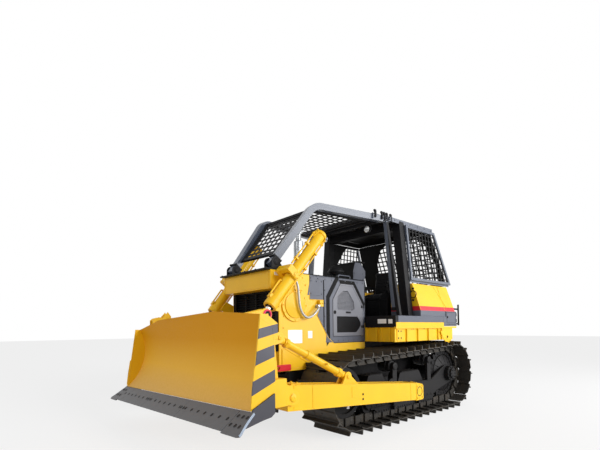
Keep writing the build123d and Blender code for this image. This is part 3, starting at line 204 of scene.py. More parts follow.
@surface
def metal(
    tree, where, colour, rough=0.35, metallic=1.0, grain=60.0, stain=(0.09, 0.06, 0.045), stained=0.2,
    spec=0.5,
):
    """Bare or blued steel: scratched grain, stains that gather in patches, and polished edges."""
    patches = tree.noise(where, 7.0, 6.0, 0.65)
    fine = tree.noise(where, grain, 6.0, 0.7)
    base = tree.mix(tree.ramp(fine, 0.3, 0.7), rgb(colour, 0.85), rgb(colour, 1.12))
    mask = tree.math("MULTIPLY", tree.ramp(patches, 0.5, 0.72), stained, clamp=True)
    base = tree.mix(mask, base, rgb(stain))
    edge, rim, _ = tree.rim(0.003)
    base = tree.mix(tree.math("MULTIPLY", rim, 0.4, clamp=True), base, rgb(colour, 1.9))
    return {
        "Base Color": base,
        "Metallic": metallic,
        "Specular IOR Level": spec,
        "Roughness": tree.ramp(tree.math("ADD", fine, mask), 0.3, 1.0, rough - 0.08, rough + 0.25),
        "Normal": tree.bump(fine, 0.16, 0.0015, edge),
    }


@surface
def moulded(tree, where, colour, rough=0.55, grain=900.0, depth=0.25, sheen=0.0):
    """Moulded plastic, rubber or vinyl: a fine pebbled grain and a slow change of shade."""
    pebbles = tree.add("TexVoronoi", {"Vector": where, "Scale": grain}).outputs["Distance"]
    broad = tree.noise(where, 9.0, 3.0)
    return {
        "Base Color": tree.mix(tree.ramp(broad, 0.3, 0.7), rgb(colour, 0.8), rgb(colour, 1.25)),
        "Roughness": tree.ramp(broad, 0.3, 0.7, rough - 0.06, rough + 0.08),
        "Sheen Weight": sheen,
        "Specular IOR Level": 0.1,
        "Normal": tree.bump(pebbles, depth, 0.0008),
    }


@surface
def braid(tree, where, colour):
    """A hose's woven wire sleeve: two crossed sets of fine waves along its run."""
    waves = []
    for turn in (0.9, -0.9):
        turned = tree.add("Mapping", {"Vector": where, "Rotation": (turn, turn * 0.6, 0.4)})
        keys = {"Vector": turned.outputs[0], "Scale": 190.0, "Distortion": 0.6}
        waves.append(tree.add("TexWave", keys, wave_type="BANDS").outputs[1])
    weave = tree.math("MAXIMUM", *waves)
    return {
        "Base Color": tree.mix(weave, rgb(colour, 0.35), rgb(colour, 1.2)),
        "Metallic": 0.55,
        "Roughness": tree.ramp(weave, 0.0, 1.0, 0.6, 0.38),
        "Normal": tree.bump(weave, 0.5, 0.001),
    }


@surface
def lens(tree, where):
    """A lamp's clear ribbed glass over its reflector."""
    ribs = tree.add("TexWave", {"Vector": where, "Scale": 30.0}, bands_direction="Y").outputs[1]
    return {
        "Base Color": tree.mix(ribs, (0.75, 0.77, 0.78, 1), (0.92, 0.93, 0.93, 1)),
        "Metallic": 0.35,
        "Roughness": 0.12,
        "Coat Weight": 1.0,
        "Normal": tree.bump(ribs, 0.5, 0.002),
    }


YELLOW = (0.87, 0.51, 0.01)
SLATE = (0.105, 0.114, 0.145)
TUBE = (0.085, 0.102, 0.14)
COAL = (0.009, 0.009, 0.0105)
RED = (0.66, 0.018, 0.03)


def hazard(tree, where, base):
    """Slanted dark bands down the end plates' outer faces, with the blade's roll taken out."""
    x, y, z = tree.parts(where)
    level = tree.math("SUBTRACT", z, tree.math("MULTIPLY", y, 0.0419))
    above = tree.math("SUBTRACT", z, 0.543)
    across = tree.math("ABSOLUTE", tree.math("ADD", y, tree.math("MULTIPLY", above, 0.0419)))
    ahead = tree.math("SUBTRACT", x, 2.4)
    rise = tree.math("ADD", level, tree.math("MULTIPLY", ahead, 0.698))
    rise = tree.math("DIVIDE", rise, tree.math("ADD", tree.math("MULTIPLY", ahead, 0.34), 1.0))
    dark = 0.0
    for low, high in ((0.8885, 1.0035), (1.1245, 1.2415), (1.3465, 1.4365)):
        above_low, below_high = tree.math("GREATER_THAN", rise, low), tree.math("LESS_THAN", rise, high)
        within = tree.math("MULTIPLY", above_low, below_high)
        dark = tree.math("MAXIMUM", within, dark)
    dark = tree.math("MULTIPLY", dark, tree.math("GREATER_THAN", across, 1.7505))
    return tree.mix(dark, base, (0.07, 0.07, 0.09, 1))


def tank_bands(tree, where, base):
    """A red stripe between the tank's yellow upper part and its slate foot."""
    height = tree.parts(where)[2]
    base = tree.mix(tree.math("LESS_THAN", height, 1.832), base, rgb(RED))
    return tree.mix(tree.math("LESS_THAN", height, 1.757), base, rgb(SLATE))


def blade_painted_shade(tree, where, base):
    """Painted light on the moldboard: deep orange shade where it leans over, a paler reflection lower down.
    """
    height = tree.parts(where)[2]
    base = tree.mix(tree.ramp(height, 1.35, 0.95), rgb((0.68, 0.30, 0.004)), rgb((0.84, 0.46, 0.045)))
    return tree.mix(tree.ramp(height, 0.95, 0.62), base, rgb((0.80, 0.48, 0.12)))


# each look's material and the record's slot that it belongs to
LOOKS = {
    "yellow": (paint("YellowPaint", YELLOW), "yellow_paint"),
    # the blade's paint: painted shade high up and a painted reflection low down, over the yellow
    "blade": (
        paint("BladePaint", YELLOW, rough=0.5, coat=0.0, dust=0.2, stripe=blade_painted_shade, spec=0.12),
        "yellow_paint",
    ),
    "hazard": (paint("HazardBands", YELLOW, stripe=hazard), "yellow_paint"),
    "tank": (paint("TankPaint", YELLOW, stripe=tank_bands), "yellow_paint"),
    "slate": (paint("SlatePanel", SLATE, rough=0.42, coat=0.05), "grey_panel"),
    "door": (paint("DoorPaint", (0.19, 0.195, 0.222), rough=0.42, coat=0.05), "grey_panel"),
    "tube": (paint("TubePaint", TUBE, rough=0.32, coat=0.35, spec=0.5), "tube_grey"),
    "coal": (
        paint("CoalPaint", COAL, rough=0.5, coat=0.0, worn=(0.08, 0.08, 0.085), spec=0.15), "dark_paint"
    ),
    "wear": (paint("WearPlate", (0.055, 0.055, 0.068), rough=0.45, coat=0.05), "dark_paint"),
    "track": (
        metal(
            "TrackSteel", (0.042, 0.038, 0.033), rough=0.5, metallic=0.35, stain=(0.08, 0.052, 0.03),
            stained=0.5, spec=0.35,
        ),
        "dark_paint",
    ),
    "edge": (metal("EdgeSteel", (0.105, 0.105, 0.11), rough=0.5, metallic=0.35, stained=0.1), "bare_steel"),
    "tip": (
        metal("WornTip", (0.29, 0.34, 0.42), rough=0.5, metallic=0.2, stained=0.05, spec=0.2), "bare_steel"
    ),
    "steel": (metal("BareSteel", (0.42, 0.42, 0.43), rough=0.34), "bare_steel"),
    "red": (paint("RedPaint", RED, dust=0.1), "red_paint"),
    "pink": (paint("PinkRing", (0.80, 0.03, 0.14), dust=0.0), "red_paint"),
    "silver": (
        metal("SilverPaint", (0.62, 0.65, 0.68), rough=0.36, metallic=0.75, stained=0.05), "silver_paint"
    ),
    "chrome": (metal("ChromeRod", (0.78, 0.79, 0.8), rough=0.16, stained=0.0, grain=200.0), "chrome_rod"),
    "hose": (braid("HoseBraid", (0.42, 0.43, 0.42)), "hose_rubber"),
    "rubber": (moulded("Rubber", (0.007, 0.007, 0.0075), rough=0.6), "hose_rubber"),
    "vinyl": (
        moulded("SeatVinyl", (0.016, 0.016, 0.018), rough=0.5, grain=420.0, depth=0.4, sheen=0.1),
        "seat_vinyl",
    ),
    "plastic": (moulded("BlackPlastic", (0.009, 0.009, 0.01), rough=0.48), "black_plastic"),
    "glass": (lens("LampLens"), "lamp_glass"),
    "label": (paint("BlankPlate", (0.86, 0.87, 0.88), rough=0.3, dust=0.0, edge_width=0.001), "silver_paint"),
}


# ---- mesh making ---------------------------------------------------------------------------------
def across_axis(axis):
    """Two unit vectors square to an axis and to each other."""
    axis = Vector(axis).normalized()
    helper = UP if abs(axis.z) < 0.9 else AHEAD
    first = axis.cross(helper).normalized()
    return first, axis.cross(first)


def circle(centre, axis, radius, sides, turn=0.0):
    """Points evenly spaced on a circle round an axis."""
    first, second = across_axis(axis)
    turns = [turn + 2 * math.pi * i / sides for i in range(sides)]
    return [Vector(centre) + (first * math.cos(t) + second * math.sin(t)) * radius for t in turns]


def along(start, end, count):
    """Evenly spaced points from start to end."""
    start, end = Vector(start), Vector(end)
    return [start.lerp(end, i / (count - 1)) for i in range(count)]


class Shape:
    """Points and faces gathered for one piece."""

    def __init__(self):
        self.points = []
        self.faces = []

    def add(self, points, faces):
        start = len(self.points)
        self.points.extend(Vector(point) for point in points)
        self.faces.extend([start + index for index in face] for face in faces)
        return self

    def loft(self, rings, caps=True, loop=False):
        """Skin between rings of points that all have the same count."""
        count, total = len(rings[0]), len(rings)
        faces = []
        for ring in range(total if loop else total - 1):
            a, b = ring * count, (ring + 1) % total * count
            for i in range(count):
                j = (i + 1) % count
                faces.append((a + i, a + j, b + j, b + i))
        if caps and not loop:
            faces.append(tuple(range(count)))
            faces.append(tuple((total - 1) * count + i for i in range(count)))
        return self.add([point for ring in rings for point in ring], faces)

    def prism(self, outline, depth):
        """A flat outline of 3D points, given a depth."""
        return self.loft([outline, [Vector(point) + Vector(depth) for point in outline]])

    def slab(self, outline, span, axis="y"):
        """A 2D outline given a span along an axis: (x, z) for y, (y, z) for x and (x, y) for z."""
        place = {
            "x": lambda p, s: (s, p[0], p[1]),
            "y": lambda p, s: (p[0], s, p[1]),
            "z": lambda p, s: (p[0], p[1], s),
        }[axis]
        return self.loft([[place(point, side) for point in outline] for side in span])

    def block(self, x, y, z):
        return self.slab(((x[0], y[0]), (x[1], y[0]), (x[1], y[1]), (x[0], y[1])), z, "z")

    def lathe(self, origin, axis, profile, sides=28):
        """Turn a profile of (radius, distance along) round an axis."""
        origin, out = Vector(origin), Vector(axis).normalized()
        return self.loft([circle(origin + out * reach, axis, radius, sides) for radius, reach in profile])

    def tube(self, start, end, radius, sides=20):
        run = Vector(end) - Vector(start)
        return self.lathe(start, run, ((radius, 0), (radius, run.length)), sides)

    def pipe(self, points, radius, sides=10, ripple=0.0):
        """A round pipe along a line of points."""
        points = [Vector(point) for point in points]
        first, _ = across_axis(points[1] - points[0])
        rings = []
        for index, point in enumerate(points):
            ahead = points[min(index + 1, len(points) - 1)] - points[max(index - 1, 0)]
            ahead.normalize()
            first = (first - ahead * first.dot(ahead)).normalized()
            second = ahead.cross(first)
            size = radius * (1 + ripple * (1 if index % 2 else -1))
            turns = (2 * math.pi * i / sides for i in range(sides))
            rings.append([point + (first * math.cos(t) + second * math.sin(t)) * size for t in turns])
        return self.loft(rings)

    def weld(self, start, end, radius=5):
        """A rippled weld bead between two points."""
        steps = max(2, int((Vector(end) - Vector(start)).length / 9))
        return self.pipe(along(start, end, steps + 1), radius, 6, 0.16)

    def ring(self, centre, axis, radius, thickness, sides=32):
        out = Vector(axis).normalized()
        rings = []
        for spot in circle((0, 0, 0), axis, 1, sides):
            turns = (2 * math.pi * k / 10 for k in range(10))
            wire = [spot * (radius + thickness * math.cos(u)) + out * thickness * math.sin(u) for u in turns]
            rings.append([Vector(centre) + point for point in wire])
        return self.loft(rings, loop=True)

    def bolt(self, at, out, radius=11):
        """A hexagon bolt head on its washer."""
        washer = ((radius * 1.45, -1), (radius * 1.45, radius * 0.22), (radius * 1.3, radius * 0.3))
        self.lathe(at, out, washer, 16)
        return self.lathe(at, out, ((radius, 0), (radius, radius * 0.85), (radius * 0.82, radius * 1.02)), 6)

    def bolts(self, places, out, radius=11):
        for place in places:
            self.bolt(place, out, radius)
        return self

    def bolt_grid(self, x, y, z, out, radius=11):
        """Bolts at every mix of the places on the three axes; a place is a number or a run of them."""
        runs = [run if hasattr(run, "__iter__") else (run,) for run in (x, y, z)]
        return self.bolts([(a, b, c) for a in runs[0] for b in runs[1] for c in runs[2]], out, radius)

    def bolt_circle(self, centre, axis, radius, count, size=11):
        return self.bolts(circle(centre, axis, radius, count), axis, size)

    def moved(self, matrix):
        self.points = [matrix @ point for point in self.points]
        return self

    def join(self, other, matrix=None):
        points = other.points if matrix is None else [matrix @ point for point in other.points]
        return self.add(points, other.faces)

    def mirrored(self):
        """The same shape on the machine's other side."""
        return Shape().add([(x, -y, z) for x, y, z in self.points], self.faces)

    def paired(self):
        """This shape and its mirror image on the machine's other side, as one."""
        return self.join(self.mirrored())


def mark_sharp(mesh, degrees=32):
    """Shade smooth, with edges sharper than an angle kept crisp."""
    bm = bmesh.new()
    bm.from_mesh(mesh)
    bmesh.ops.recalc_face_normals(bm, faces=bm.faces)
    limit = math.radians(degrees)
    for face in bm.faces:
        face.smooth = True
    for edge in bm.edges:
        edge.smooth = len(edge.link_faces) == 2 and edge.calc_face_angle(0.0) < limit
    bm.to_mesh(mesh)
    bm.free()


def new_object(name, data):
    """An object in the scene."""
    thing = bpy.data.objects.new(name, data)
    bpy.context.scene.collection.objects.link(thing)
    return thing


def bevelled(thing, width):
    """Round a piece's crisp edges by a width in millimetres."""
    bevel = thing.modifiers.new("Rounding", "BEVEL")
    bevel.width = width * MM
    bevel.segments = 2
    bevel.limit_method = "ANGLE"
    bevel.angle_limit = math.radians(33)
    bevel.harden_normals = True


def place(thing, look, body, replaces=()):
    """Give a piece its finish and body, and hide the CAD nodes that it stands for."""
    material, slot = LOOKS[look]
    thing.data.materials.append(material)
    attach(thing, body)
    if replaces:
        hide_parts(*replaces)
    return thing


def piece(name, shape, look, body="hull", bevel=0.0, replaces=(), smooth=32):
    """Make a piece from a shape in millimetres."""
    mesh = bpy.data.meshes.new(name)
    mesh.from_pydata([point * MM for point in shape.points], [], shape.faces)
    mark_sharp(mesh, smooth)
    thing = new_object(name, mesh)
    if bevel:
        bevelled(thing, bevel)
    return place(thing, look, body, replaces)


def side_pieces(name, shape, look, body="hull", bevel=0.0):
    """A piece on the left and its mirror image on the right; a body's * stands for the side."""
    for side, form in (("left", shape), ("right", shape.mirrored())):
        piece(f"{name}_{side}", form, look, body.replace("*", side), bevel)


def finish_nodes(look, *names):
    """Give CAD nodes a finish."""
    for name in names:
        for holder in nodes[name].material_slots:
            holder.material = LOOKS[look][0]


def node_mesh(node, name, change):
    """A changed copy of a CAD node's mesh, its doubled points joined first."""
    bm = bmesh.new()
    bm.from_mesh(nodes[node].data)
    bmesh.ops.remove_doubles(bm, verts=bm.verts, dist=1e-5)
    change(bm)
    mesh = bpy.data.meshes.new(name)
    bm.to_mesh(mesh)
    bm.free()
    return mesh


def rounded(look, **widths):
    """Copies of CAD nodes with their edges rounded by a width, each of which stands for its node."""

    def join_flats(bm):
        bmesh.ops.dissolve_limit(bm, angle_limit=math.radians(0.6), verts=bm.verts, edges=bm.edges)

    for node, width in widths.items():
        mesh = node_mesh(node, node + "_skin", join_flats)
        mark_sharp(mesh)
        thing = new_object(mesh.name, mesh)
        bevelled(thing, width)
        place(thing, look, nodes[node]["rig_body"], (node,))


# ---- camera, light and floor ---------------------------------------------------------------------
CAMERA_PLACE = (4.704, 4.690, 1.4746)
yaw, pitch, turn = 3.9991, 0.03765, -0.00867

view = Vector((math.cos(yaw) * math.cos(pitch), math.sin(yaw) * math.cos(pitch), math.sin(pitch)))
level = view.cross(UP).normalized()
upward = level.cross(view)
right = level * math.cos(turn) + upward * math.sin(turn)
upward = upward * math.cos(turn) - level * math.sin(turn)
camera = new_object("Camera", bpy.data.cameras.new("Camera"))
camera.matrix_world = Matrix.Translation(CAMERA_PLACE) @ Matrix((right, upward, -view)).transposed().to_4x4()
camera.data.sensor_width = 36
camera.data.lens = 23.007
camera.data.shift_x = 0.0094
camera.data.shift_y = 0.1476
bpy.context.scene.camera = camera


def lamp(name, kind, location, aim, energy, size):
    """A soft lamp aimed at a point; its size is degrees for a sun and metres for a disc."""
    data = bpy.data.lights.new(name, kind)
    data.energy = energy
    if kind == "SUN":
        data.angle = math.radians(size)
    else:
        data.shape = "DISK"
        data.size = size
    thing = new_object(name, data)
    thing.location = location
    thing.rotation_euler = (Vector(aim) - Vector(location)).to_track_quat("-Z", "Y").to_euler()
    thing.visible_camera = False


lamp("KeySun", "SUN", (-1.5, 8, 3.8), (0, 0, 1), 1.35, 14)
lamp("SideSoftbox", "AREA", (-6.5, 9.5, 4.2), (0, 1, 1.4), 840, 8)
lamp("FrontFill", "AREA", (9, 1, 5), (1, 0, 1), 160, 6)

WHITE = (1, 1, 1, 1)
world = bpy.data.worlds.new("Studio")
bpy.context.scene.world = world
sky = Tree(world)
background = sky.add("Background", {"Color": WHITE, "Strength": sky.ramp(sky.seen(), 0, 1, 0.42, 1.0)})
sky.add("OutputWorld", {"Surface": background.outputs[0]})

FLOOR_HALF, FLOOR_Z, FLOOR_GLOW = 60, -0.001, 0.74
floor_mesh = bpy.data.meshes.new("Floor")
corners = [(x * FLOOR_HALF, y * FLOOR_HALF, FLOOR_Z) for x, y in ((-1, -1), (1, -1), (1, 1), (-1, 1))]
floor_mesh.from_pydata(corners, [], [(0, 1, 2, 3)])
floor_mesh.materials.append(bpy.data.materials.new("Floor"))
ground = Tree(floor_mesh.materials[0])
matt = ground.add("BsdfDiffuse", {"Color": (0.82, 0.82, 0.82, 1)})
glow = ground.add("Emission", {"Color": WHITE, "Strength": 1.0})
share = ground.math("MULTIPLY", ground.seen(), FLOOR_GLOW)
blend = ground.add("MixShader", {0: share, 1: matt.outputs[0], 2: glow.outputs[0]})
ground.add("OutputMaterial", {"Surface": blend.outputs[0]})
new_object("Floor", floor_mesh)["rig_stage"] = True

bpy.context.scene.view_settings.view_transform = "Standard"

# ---- finishes on the CAD nodes that stay as they are ---------------------------------------------
finish_nodes("coal", "sprockets", "idlers", "track_rollers", "carrier_rollers", "grab_rails")
finish_nodes("yellow", "arm_brace", "tilt_cylinder")
finish_nodes("chrome", "lift_rod_left", "lift_rod_right")

# ---- lift hoses: each leaves its yoke, hangs in a loop and comes up to the side panel ------------
HOSE_ROUTE = (
    (1288, 640, 2178), (1184, 640, 2178), (1140, 652, 2076), (1130, 657, 1945), (1118, 657, 1800),
    (1072, 655, 1690), (985, 652, 1618), (880, 650, 1632), (785, 652, 1705), (716, 655, 1786),
    (710, 581, 1795),
)
HOSE_RADIUS, HOSE_LENGTH = 17, 1097
FERRULE = ((24, 0), (24, 6), (22, 8), (24, 12), (22, 16), (24, 20), (23, 44), (18, 46))
for side, sign in SIDES:
    route = [(x * MM, sign * y * MM, z * MM) for x, y, z in HOSE_ROUTE]
    # hose ends: crimped ferrules and swivel nuts
    ends = Shape()
    for spot, axis in ((route[0], -AHEAD), (route[-1], LEFT * sign)):
        origin = Vector(spot) / MM
        ends.lathe(origin, axis, ((30, -1), (30, 18)), 6)
        ends.lathe(origin + axis * 18, axis, FERRULE, 24)
    fittings = piece(f"hose_fittings_{side}", ends, "steel")
    curve = bpy.data.curves.new(f"lift_hose_{side}", "CURVE")
    curve.dimensions = "3D"
    curve.bevel_depth = HOSE_RADIUS * MM
    curve.bevel_resolution = 8
    curve.resolution_u = 12
    curve.use_fill_caps = True
    spline = curve.splines.new("NURBS")
    spline.points.add(len(route) - 1)
    for point, spot in zip(spline.points, route):
        point.co = (*spot, 1)
    spline.order_u = 3
    spline.use_endpoint_u = True
    hose = place(new_object(curve.name, curve), "hose", "hull", ("lift_hoses",))
    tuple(route[0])

# ---- tracks: linked chains that carry the shoes --------------------------------------------------
GAUGE_HALF = 935
SHOE_HALF = 340
SPROCKET, SPROCKET_PITCH = (-2220, 608), 468
IDLER, IDLER_PITCH = (613, 550), 410
SHOES = 39
WHEELBASE = IDLER[0] - SPROCKET[0]
CHAIN_TOP = SPROCKET[1] + SPROCKET_PITCH
CHAIN_RISE = CHAIN_TOP - IDLER[1] - IDLER_PITCH


def round_wheel(wheel, radius, angle):
    """A station on a wheel's pitch circle (x, z), with its outward angle."""
    return wheel[0] + radius * math.cos(angle), wheel[1] + radius * math.sin(angle), angle


def chain_stations():
    """The chain's pitch, and for each shoe its middle on the pin line (x, z) with its outward angle."""
    top = math.hypot(WHEELBASE, CHAIN_RISE)
    half_front, half_rear = math.pi * IDLER_PITCH, math.pi * SPROCKET_PITCH
    pitch = (WHEELBASE + half_front + top + half_rear) / SHOES
    stations = []
    for shoe in range(SHOES):
        run = shoe * pitch
        if run < WHEELBASE:
            stations.append((SPROCKET[0] + run, SPROCKET[1] - SPROCKET_PITCH, -math.pi / 2))
        elif run < WHEELBASE + half_front:
            stations.append(round_wheel(IDLER, IDLER_PITCH, (run - WHEELBASE) / IDLER_PITCH - math.pi / 2))
        elif run < WHEELBASE + half_front + top:
            share = (run - WHEELBASE - half_front) / top
            z = IDLER[1] + IDLER_PITCH + CHAIN_RISE * share
            stations.append((IDLER[0] - WHEELBASE * share, z, math.pi / 2))
        else:
            angle = (run - WHEELBASE - half_front - top) / SPROCKET_PITCH + math.pi / 2
            stations.append(round_wheel(SPROCKET, SPROCKET_PITCH, angle))
    return pitch, stations


def track_shoe(pitch):
    """One shoe: a plate with turned lips and one grouser. X runs along the chain, Z outward."""
    lip, bar = pitch / 2 - 4, -0.3 * pitch
    outline = (
        (-lip, 61), (-lip + 1, 69), (-lip + 9, 75), (bar - 20, 75.5), (bar - 12, 82), (bar - 7, 138),
        (bar - 4, 139.5), (bar + 5, 139.5), (bar + 8, 137), (bar + 13, 84), (bar + 24, 76), (lip - 26, 75),
        (lip - 8, 71), (lip, 63), (lip - 4, 60.5), (lip - 30, 62), (0, 61),
    )
    rings = []
    for across in (-SHOE_HALF, 16 - SHOE_HALF, SHOE_HALF - 16, SHOE_HALF):
        share, lower = (0.9, 5) if abs(across) == SHOE_HALF else (1, 0)
        rings.append([(bar + (x - bar) * share, across, z - lower if z > 100 else z) for x, z in outline])
    shoe = Shape().loft(rings)
    # the front lip turns down and reaches under the next shoe
    tongue = ((-26, 62), (-4, 60), (14, 55), (40, 43), (36, 37), (10, 47), (-26, 55))
    for sign in (-1, 1):
        shoe.slab([(lip + x, z) for x, z in tongue], (sign * 108, sign * (SHOE_HALF - 18)))
    return shoe.bolt_grid((-14, 50), (-78, 78), 75, UP, 11)


def chain_link(pitch):
    """One pitch of chain: two offset links, the bushing between them and the pin's ends."""
    link = Shape()
    half = pitch / 2
    ahead_end = (
        (-24, -58), (half - 14, -60), (half + 22, -48), (half + 38, -18), (half + 38, 14), (half + 22, 40),
        (half - 20, 60), (-24, 60),
    )
    for side in (-1, 1):
        link.slab(ahead_end, (side * 53, side * 79))
        link.slab([(-x, z) for x, z in ahead_end], (side * 79, side * 103.5))
        link.lathe((-half, side * 103, 0), LEFT * side, ((27, 0), (27, 3), (20, 5), (9, 5), (8, 2)), 18)
        link.lathe((half, side * 79, 0), LEFT * side, ((32, 0), (32, 2)), 18)
    return link.tube((half, -53, 0), (half, 53, 0), 34, 18)


pitch, stations = chain_stations()
for side, sign in SIDES:
    shoes, links = Shape(), Shape()
    shoe, link = track_shoe(pitch), chain_link(pitch)
    for x, z, angle in stations:
        out_x, out_z = math.cos(angle), math.sin(angle)
        rows = ((-out_z, 0, out_x, x), (0, 1, 0, sign * GAUGE_HALF), (out_x, 0, out_z, z), (0, 0, 0, 1))
        spot = Matrix(rows)
        shoes.join(shoe, spot)
        links.join(link, spot)
    piece(f"track_shoes_{side}", shoes, "track", replaces=(f"track_{side}",), smooth=28)
    piece(f"track_chain_{side}", links, "track", bevel=1.5)

# ---- undercarriage details, made on the left -----------------------------------------------------
FRAME_SIDE = GAUGE_HALF + 150
plates, caps = Shape(), Shape()
# roller guard along the frame's lower edge, with its gussets and the roller shafts' end collars
plates.slab(((-1660, 252), (-1640, 180), (-60, 180), (40, 252)), (FRAME_SIDE - 6, FRAME_SIDE + 10))
for x in (-1120, -420):
    gusset = [(FRAME_SIDE + out, z) for out, z in ((0, 250), (62, 262), (70, 470), (0, 520))]
    plates.slab(gusset, (x, x + 22), "x")
    plates.block((x - 12, x + 34), (FRAME_SIDE, FRAME_SIDE + 78), (196, 252))
plates.block((-1690, 120), (FRAME_SIDE, FRAME_SIDE + 14), (248, 272))
guard_bolts = [x for x in range(-1640, 96, 62) if min(abs(x + 1109), abs(x + 409)) > 40]
caps.bolt_grid(guard_bolts, FRAME_SIDE + 10, 205, LEFT, 12)
caps.bolt_grid(range(-1600, 320, 120), FRAME_SIDE, 300, LEFT, 10)
caps.bolt_circle((-450, FRAME_SIDE + 2, 520), LEFT, 118, 10, 11)
cap = ((150, -1), (150, 6), (140, 14), (104, 18), (98, 60), (96, 60))
plates.lathe((-450, FRAME_SIDE, 520), LEFT, cap, 40)
# the idler's sliding bracket, its shims and bolts
bracket = ((330, 470), (560, 490), (640, 520), (640, 580), (560, 612), (330, 600))
plates.slab(bracket, (FRAME_SIDE, FRAME_SIDE + 18))
caps.bolt_grid((370, 460, 550), FRAME_SIDE + 18, (508, 578), LEFT, 13)
# cover plates over the recoil spring
for start, end, top in ((-270, 40, 750), (-1290, -790, 730)):
    plates.block((start, end), (GAUGE_HALF - 96, GAUGE_HALF + 96), (top - 1, top + 7))
    caps.bolt_grid((start + 20, end - 20), range(GAUGE_HALF - 80, GAUGE_HALF + 81, 80), top + 7, UP, 10)
plates.weld((-1690, FRAME_SIDE, 540), (180, FRAME_SIDE, 540), 6)
# carrier rollers: end covers on the brackets and clamp bolts
for x in (-1530, -500):
    z = CHAIN_TOP - CHAIN_RISE * (x - SPROCKET[0]) / WHEELBASE - 152
    tip = GAUGE_HALF + 170
    plates.lathe((x, tip, z), LEFT, ((60, -1), (60, 6), (48, 12), (24, 14), (22, 10)))
    caps.bolt_circle((x, tip + 6, z), LEFT, 40, 6, 7)
    plates.lathe((x, GAUGE_HALF - 104, z), -LEFT, ((84, -1), (80, 4), (50, 10), (46, 4)))
    plates.lathe((x, GAUGE_HALF + 104, z), LEFT, ((84, -1), (78, 8), (60, 12)))
# the final drive's covers and ribs
for off, out, radius, count, size in (
    (225, LEFT, 112, 10, 13), (262, LEFT, 62, 6, 11), (-190, -LEFT, 318, 20, 13),
):
    caps.bolt_circle((SPROCKET[0], GAUGE_HALF + off, SPROCKET[1]), out, radius, count, size)
for i in range(12):
    turn = 2 * math.pi * i / 12
    ends = ((318, 48), (196, 103))
    spokes = [(*round_wheel(SPROCKET, radius, turn)[:2], GAUGE_HALF + off) for radius, off in ends]
    plates.pipe([(x, y, z) for x, z, y in spokes], 9, 6)
# hull skirt behind the upper run, with its stiffeners
plates.slab(((-1350, 985), (-1350, 1210), (420, 1210), (560, 1080), (1040, 1080), (1040, 985)), (425, 440))
for x in range(-1200, 301, 300):
    plates.block((x - 8, x + 8), (438, 462), (985, 1205))
piece("undercarriage_plates", plates.paired(), "coal", bevel=2)
caps.paired()
# the sprockets' segment bolts, which start at the same angle on both sides
for middle in (GAUGE_HALF, -GAUGE_HALF):
    for off, out in ((-44, -LEFT), (44, LEFT)):
        caps.bolt_circle((SPROCKET[0], middle + off, SPROCKET[1]), out, 376, 27, 12)
piece("undercarriage_bolts", caps, "coal")

# ---- blade ---------------------------------------------------------------------------------------
ROLL = math.radians(2.4)
ROLL_Z = 543
ARM_Y, ARM_PIN_X, ARM_PIN_Z, ARM_RUN = 1460, -450, 520, 2500
FOOT_X, FOOT_RISE = 1080, 218
LIFT_Y, LIFT_PIN_X = 760, 1813
EDGE_TOP = Vector((2689, 0, 635))
EDGE_TIP = Vector((2920, 0, 465))
edge_run = EDGE_TIP - EDGE_TOP
down_edge = edge_run.normalized()
edge_out = Vector((-edge_run.z, 0, edge_run.x)).normalized()
roll_about = (
    Matrix.Translation((0, 0, ROLL_Z)) @ Matrix.Rotation(ROLL, 4, "X") @ Matrix.Translation((0, 0, -ROLL_Z))
)

# the moldboard takes the blade paint, with its painted shade and painted reflection
rounded("blade", moldboard=4)
rounded("hazard", end_plates=3)
rounded("edge", cutting_edge=3)
rounded("yellow", blade_frame=5, blade_brackets=5, lift_lugs=5, push_arm_left=7, push_arm_right=7)


def lift_pin_z(sign):
    """Height of a lift rod's eye, on the rolled blade."""
    return 1617 + sign * LIFT_Y * math.sin(ROLL)


def blade_piece(name, left, look, bevel=0.0, replaces=()):
    """A piece on the blade, made from its left half before the blade is rolled."""
    piece(name, left.paired().moved(roll_about), look, "blade", bevel, replaces)


def edge_point(across, share, out=0.0):
    """A place on the cutting edge's sloped face, a share of the way down, and out from it."""
    return EDGE_TOP + edge_run * share + LEFT * across + edge_out * out


# end bits: each flares out towards its tip, with a rounded lower corner and a worn end face
flare = (
    (1577, 1), (1790, 1), (1812, 0.62), (1838, 0.34), (1859, 0.16), (1860, 0.08), (1848, 0.02), (1826, 0),
    (1577, 0),
)
front, back = [], []
for across, share in flare:
    point = edge_point(across, 1 - share) - down_edge
    thick, trim = (25, 0) if share > 0.05 else (16, 3)
    front.append(point - edge_out * 0.6)
    back.append(point - edge_out * thick - down_edge * trim)
out = LEFT * 0.96 - down_edge * 0.28
tips = Shape().loft([[f + out * 0.9, b + out * 0.9, b - out, f - out] for f, b in zip(front[1:6], back[1:6])])
blade_piece("end_bit_skins", Shape().loft([front, back]), "edge", 3, ("end_bits",))
blade_piece("end_bit_tips", tips, "tip")
# wear plate bolted on the end plate's lower corner
corner = ((2423, 776), (2428, 590), (2474, 556), (2577, 540), (2770, 497), (2680, 656))
blade_piece("wear_plates", Shape().slab(corner, (1756.5, 1775.5)), "wear", 3)

# plow bolts in their seats along the edge, in a row and in pairs at its joints and on its end bits
holes, rims = Shape(), Shape()
rows = [(across, 0.44) for across in (*range(-1500, 1501, 150), -549, -485, 485, 549)]
for sign in (-1, 1):
    rows += [(sign * across, share) for across in (1620, 1700, 1770) for share in (0.24, 0.62)]
for across, share in rows:
    spot = edge_point(across, share)
    rims.lathe(spot, edge_out, ((27, -1), (27, 1.2), (22, 1.2), (21, -2)), 20)
    holes.lathe(spot, edge_out, ((21, -1), (21, 0.3), (9, 0.3)), 20)
    holes.lathe(spot, edge_out, ((9, 0), (8.5, 1.4)), 4)
piece("edge_bolt_seats", rims.moved(roll_about), "edge", "blade")
piece("edge_plow_bolts", holes.moved(roll_about), "coal", "blade")

ARC_CENTRE = Vector((3154, 0, 1216))
ARC_RADIUS = 745.2


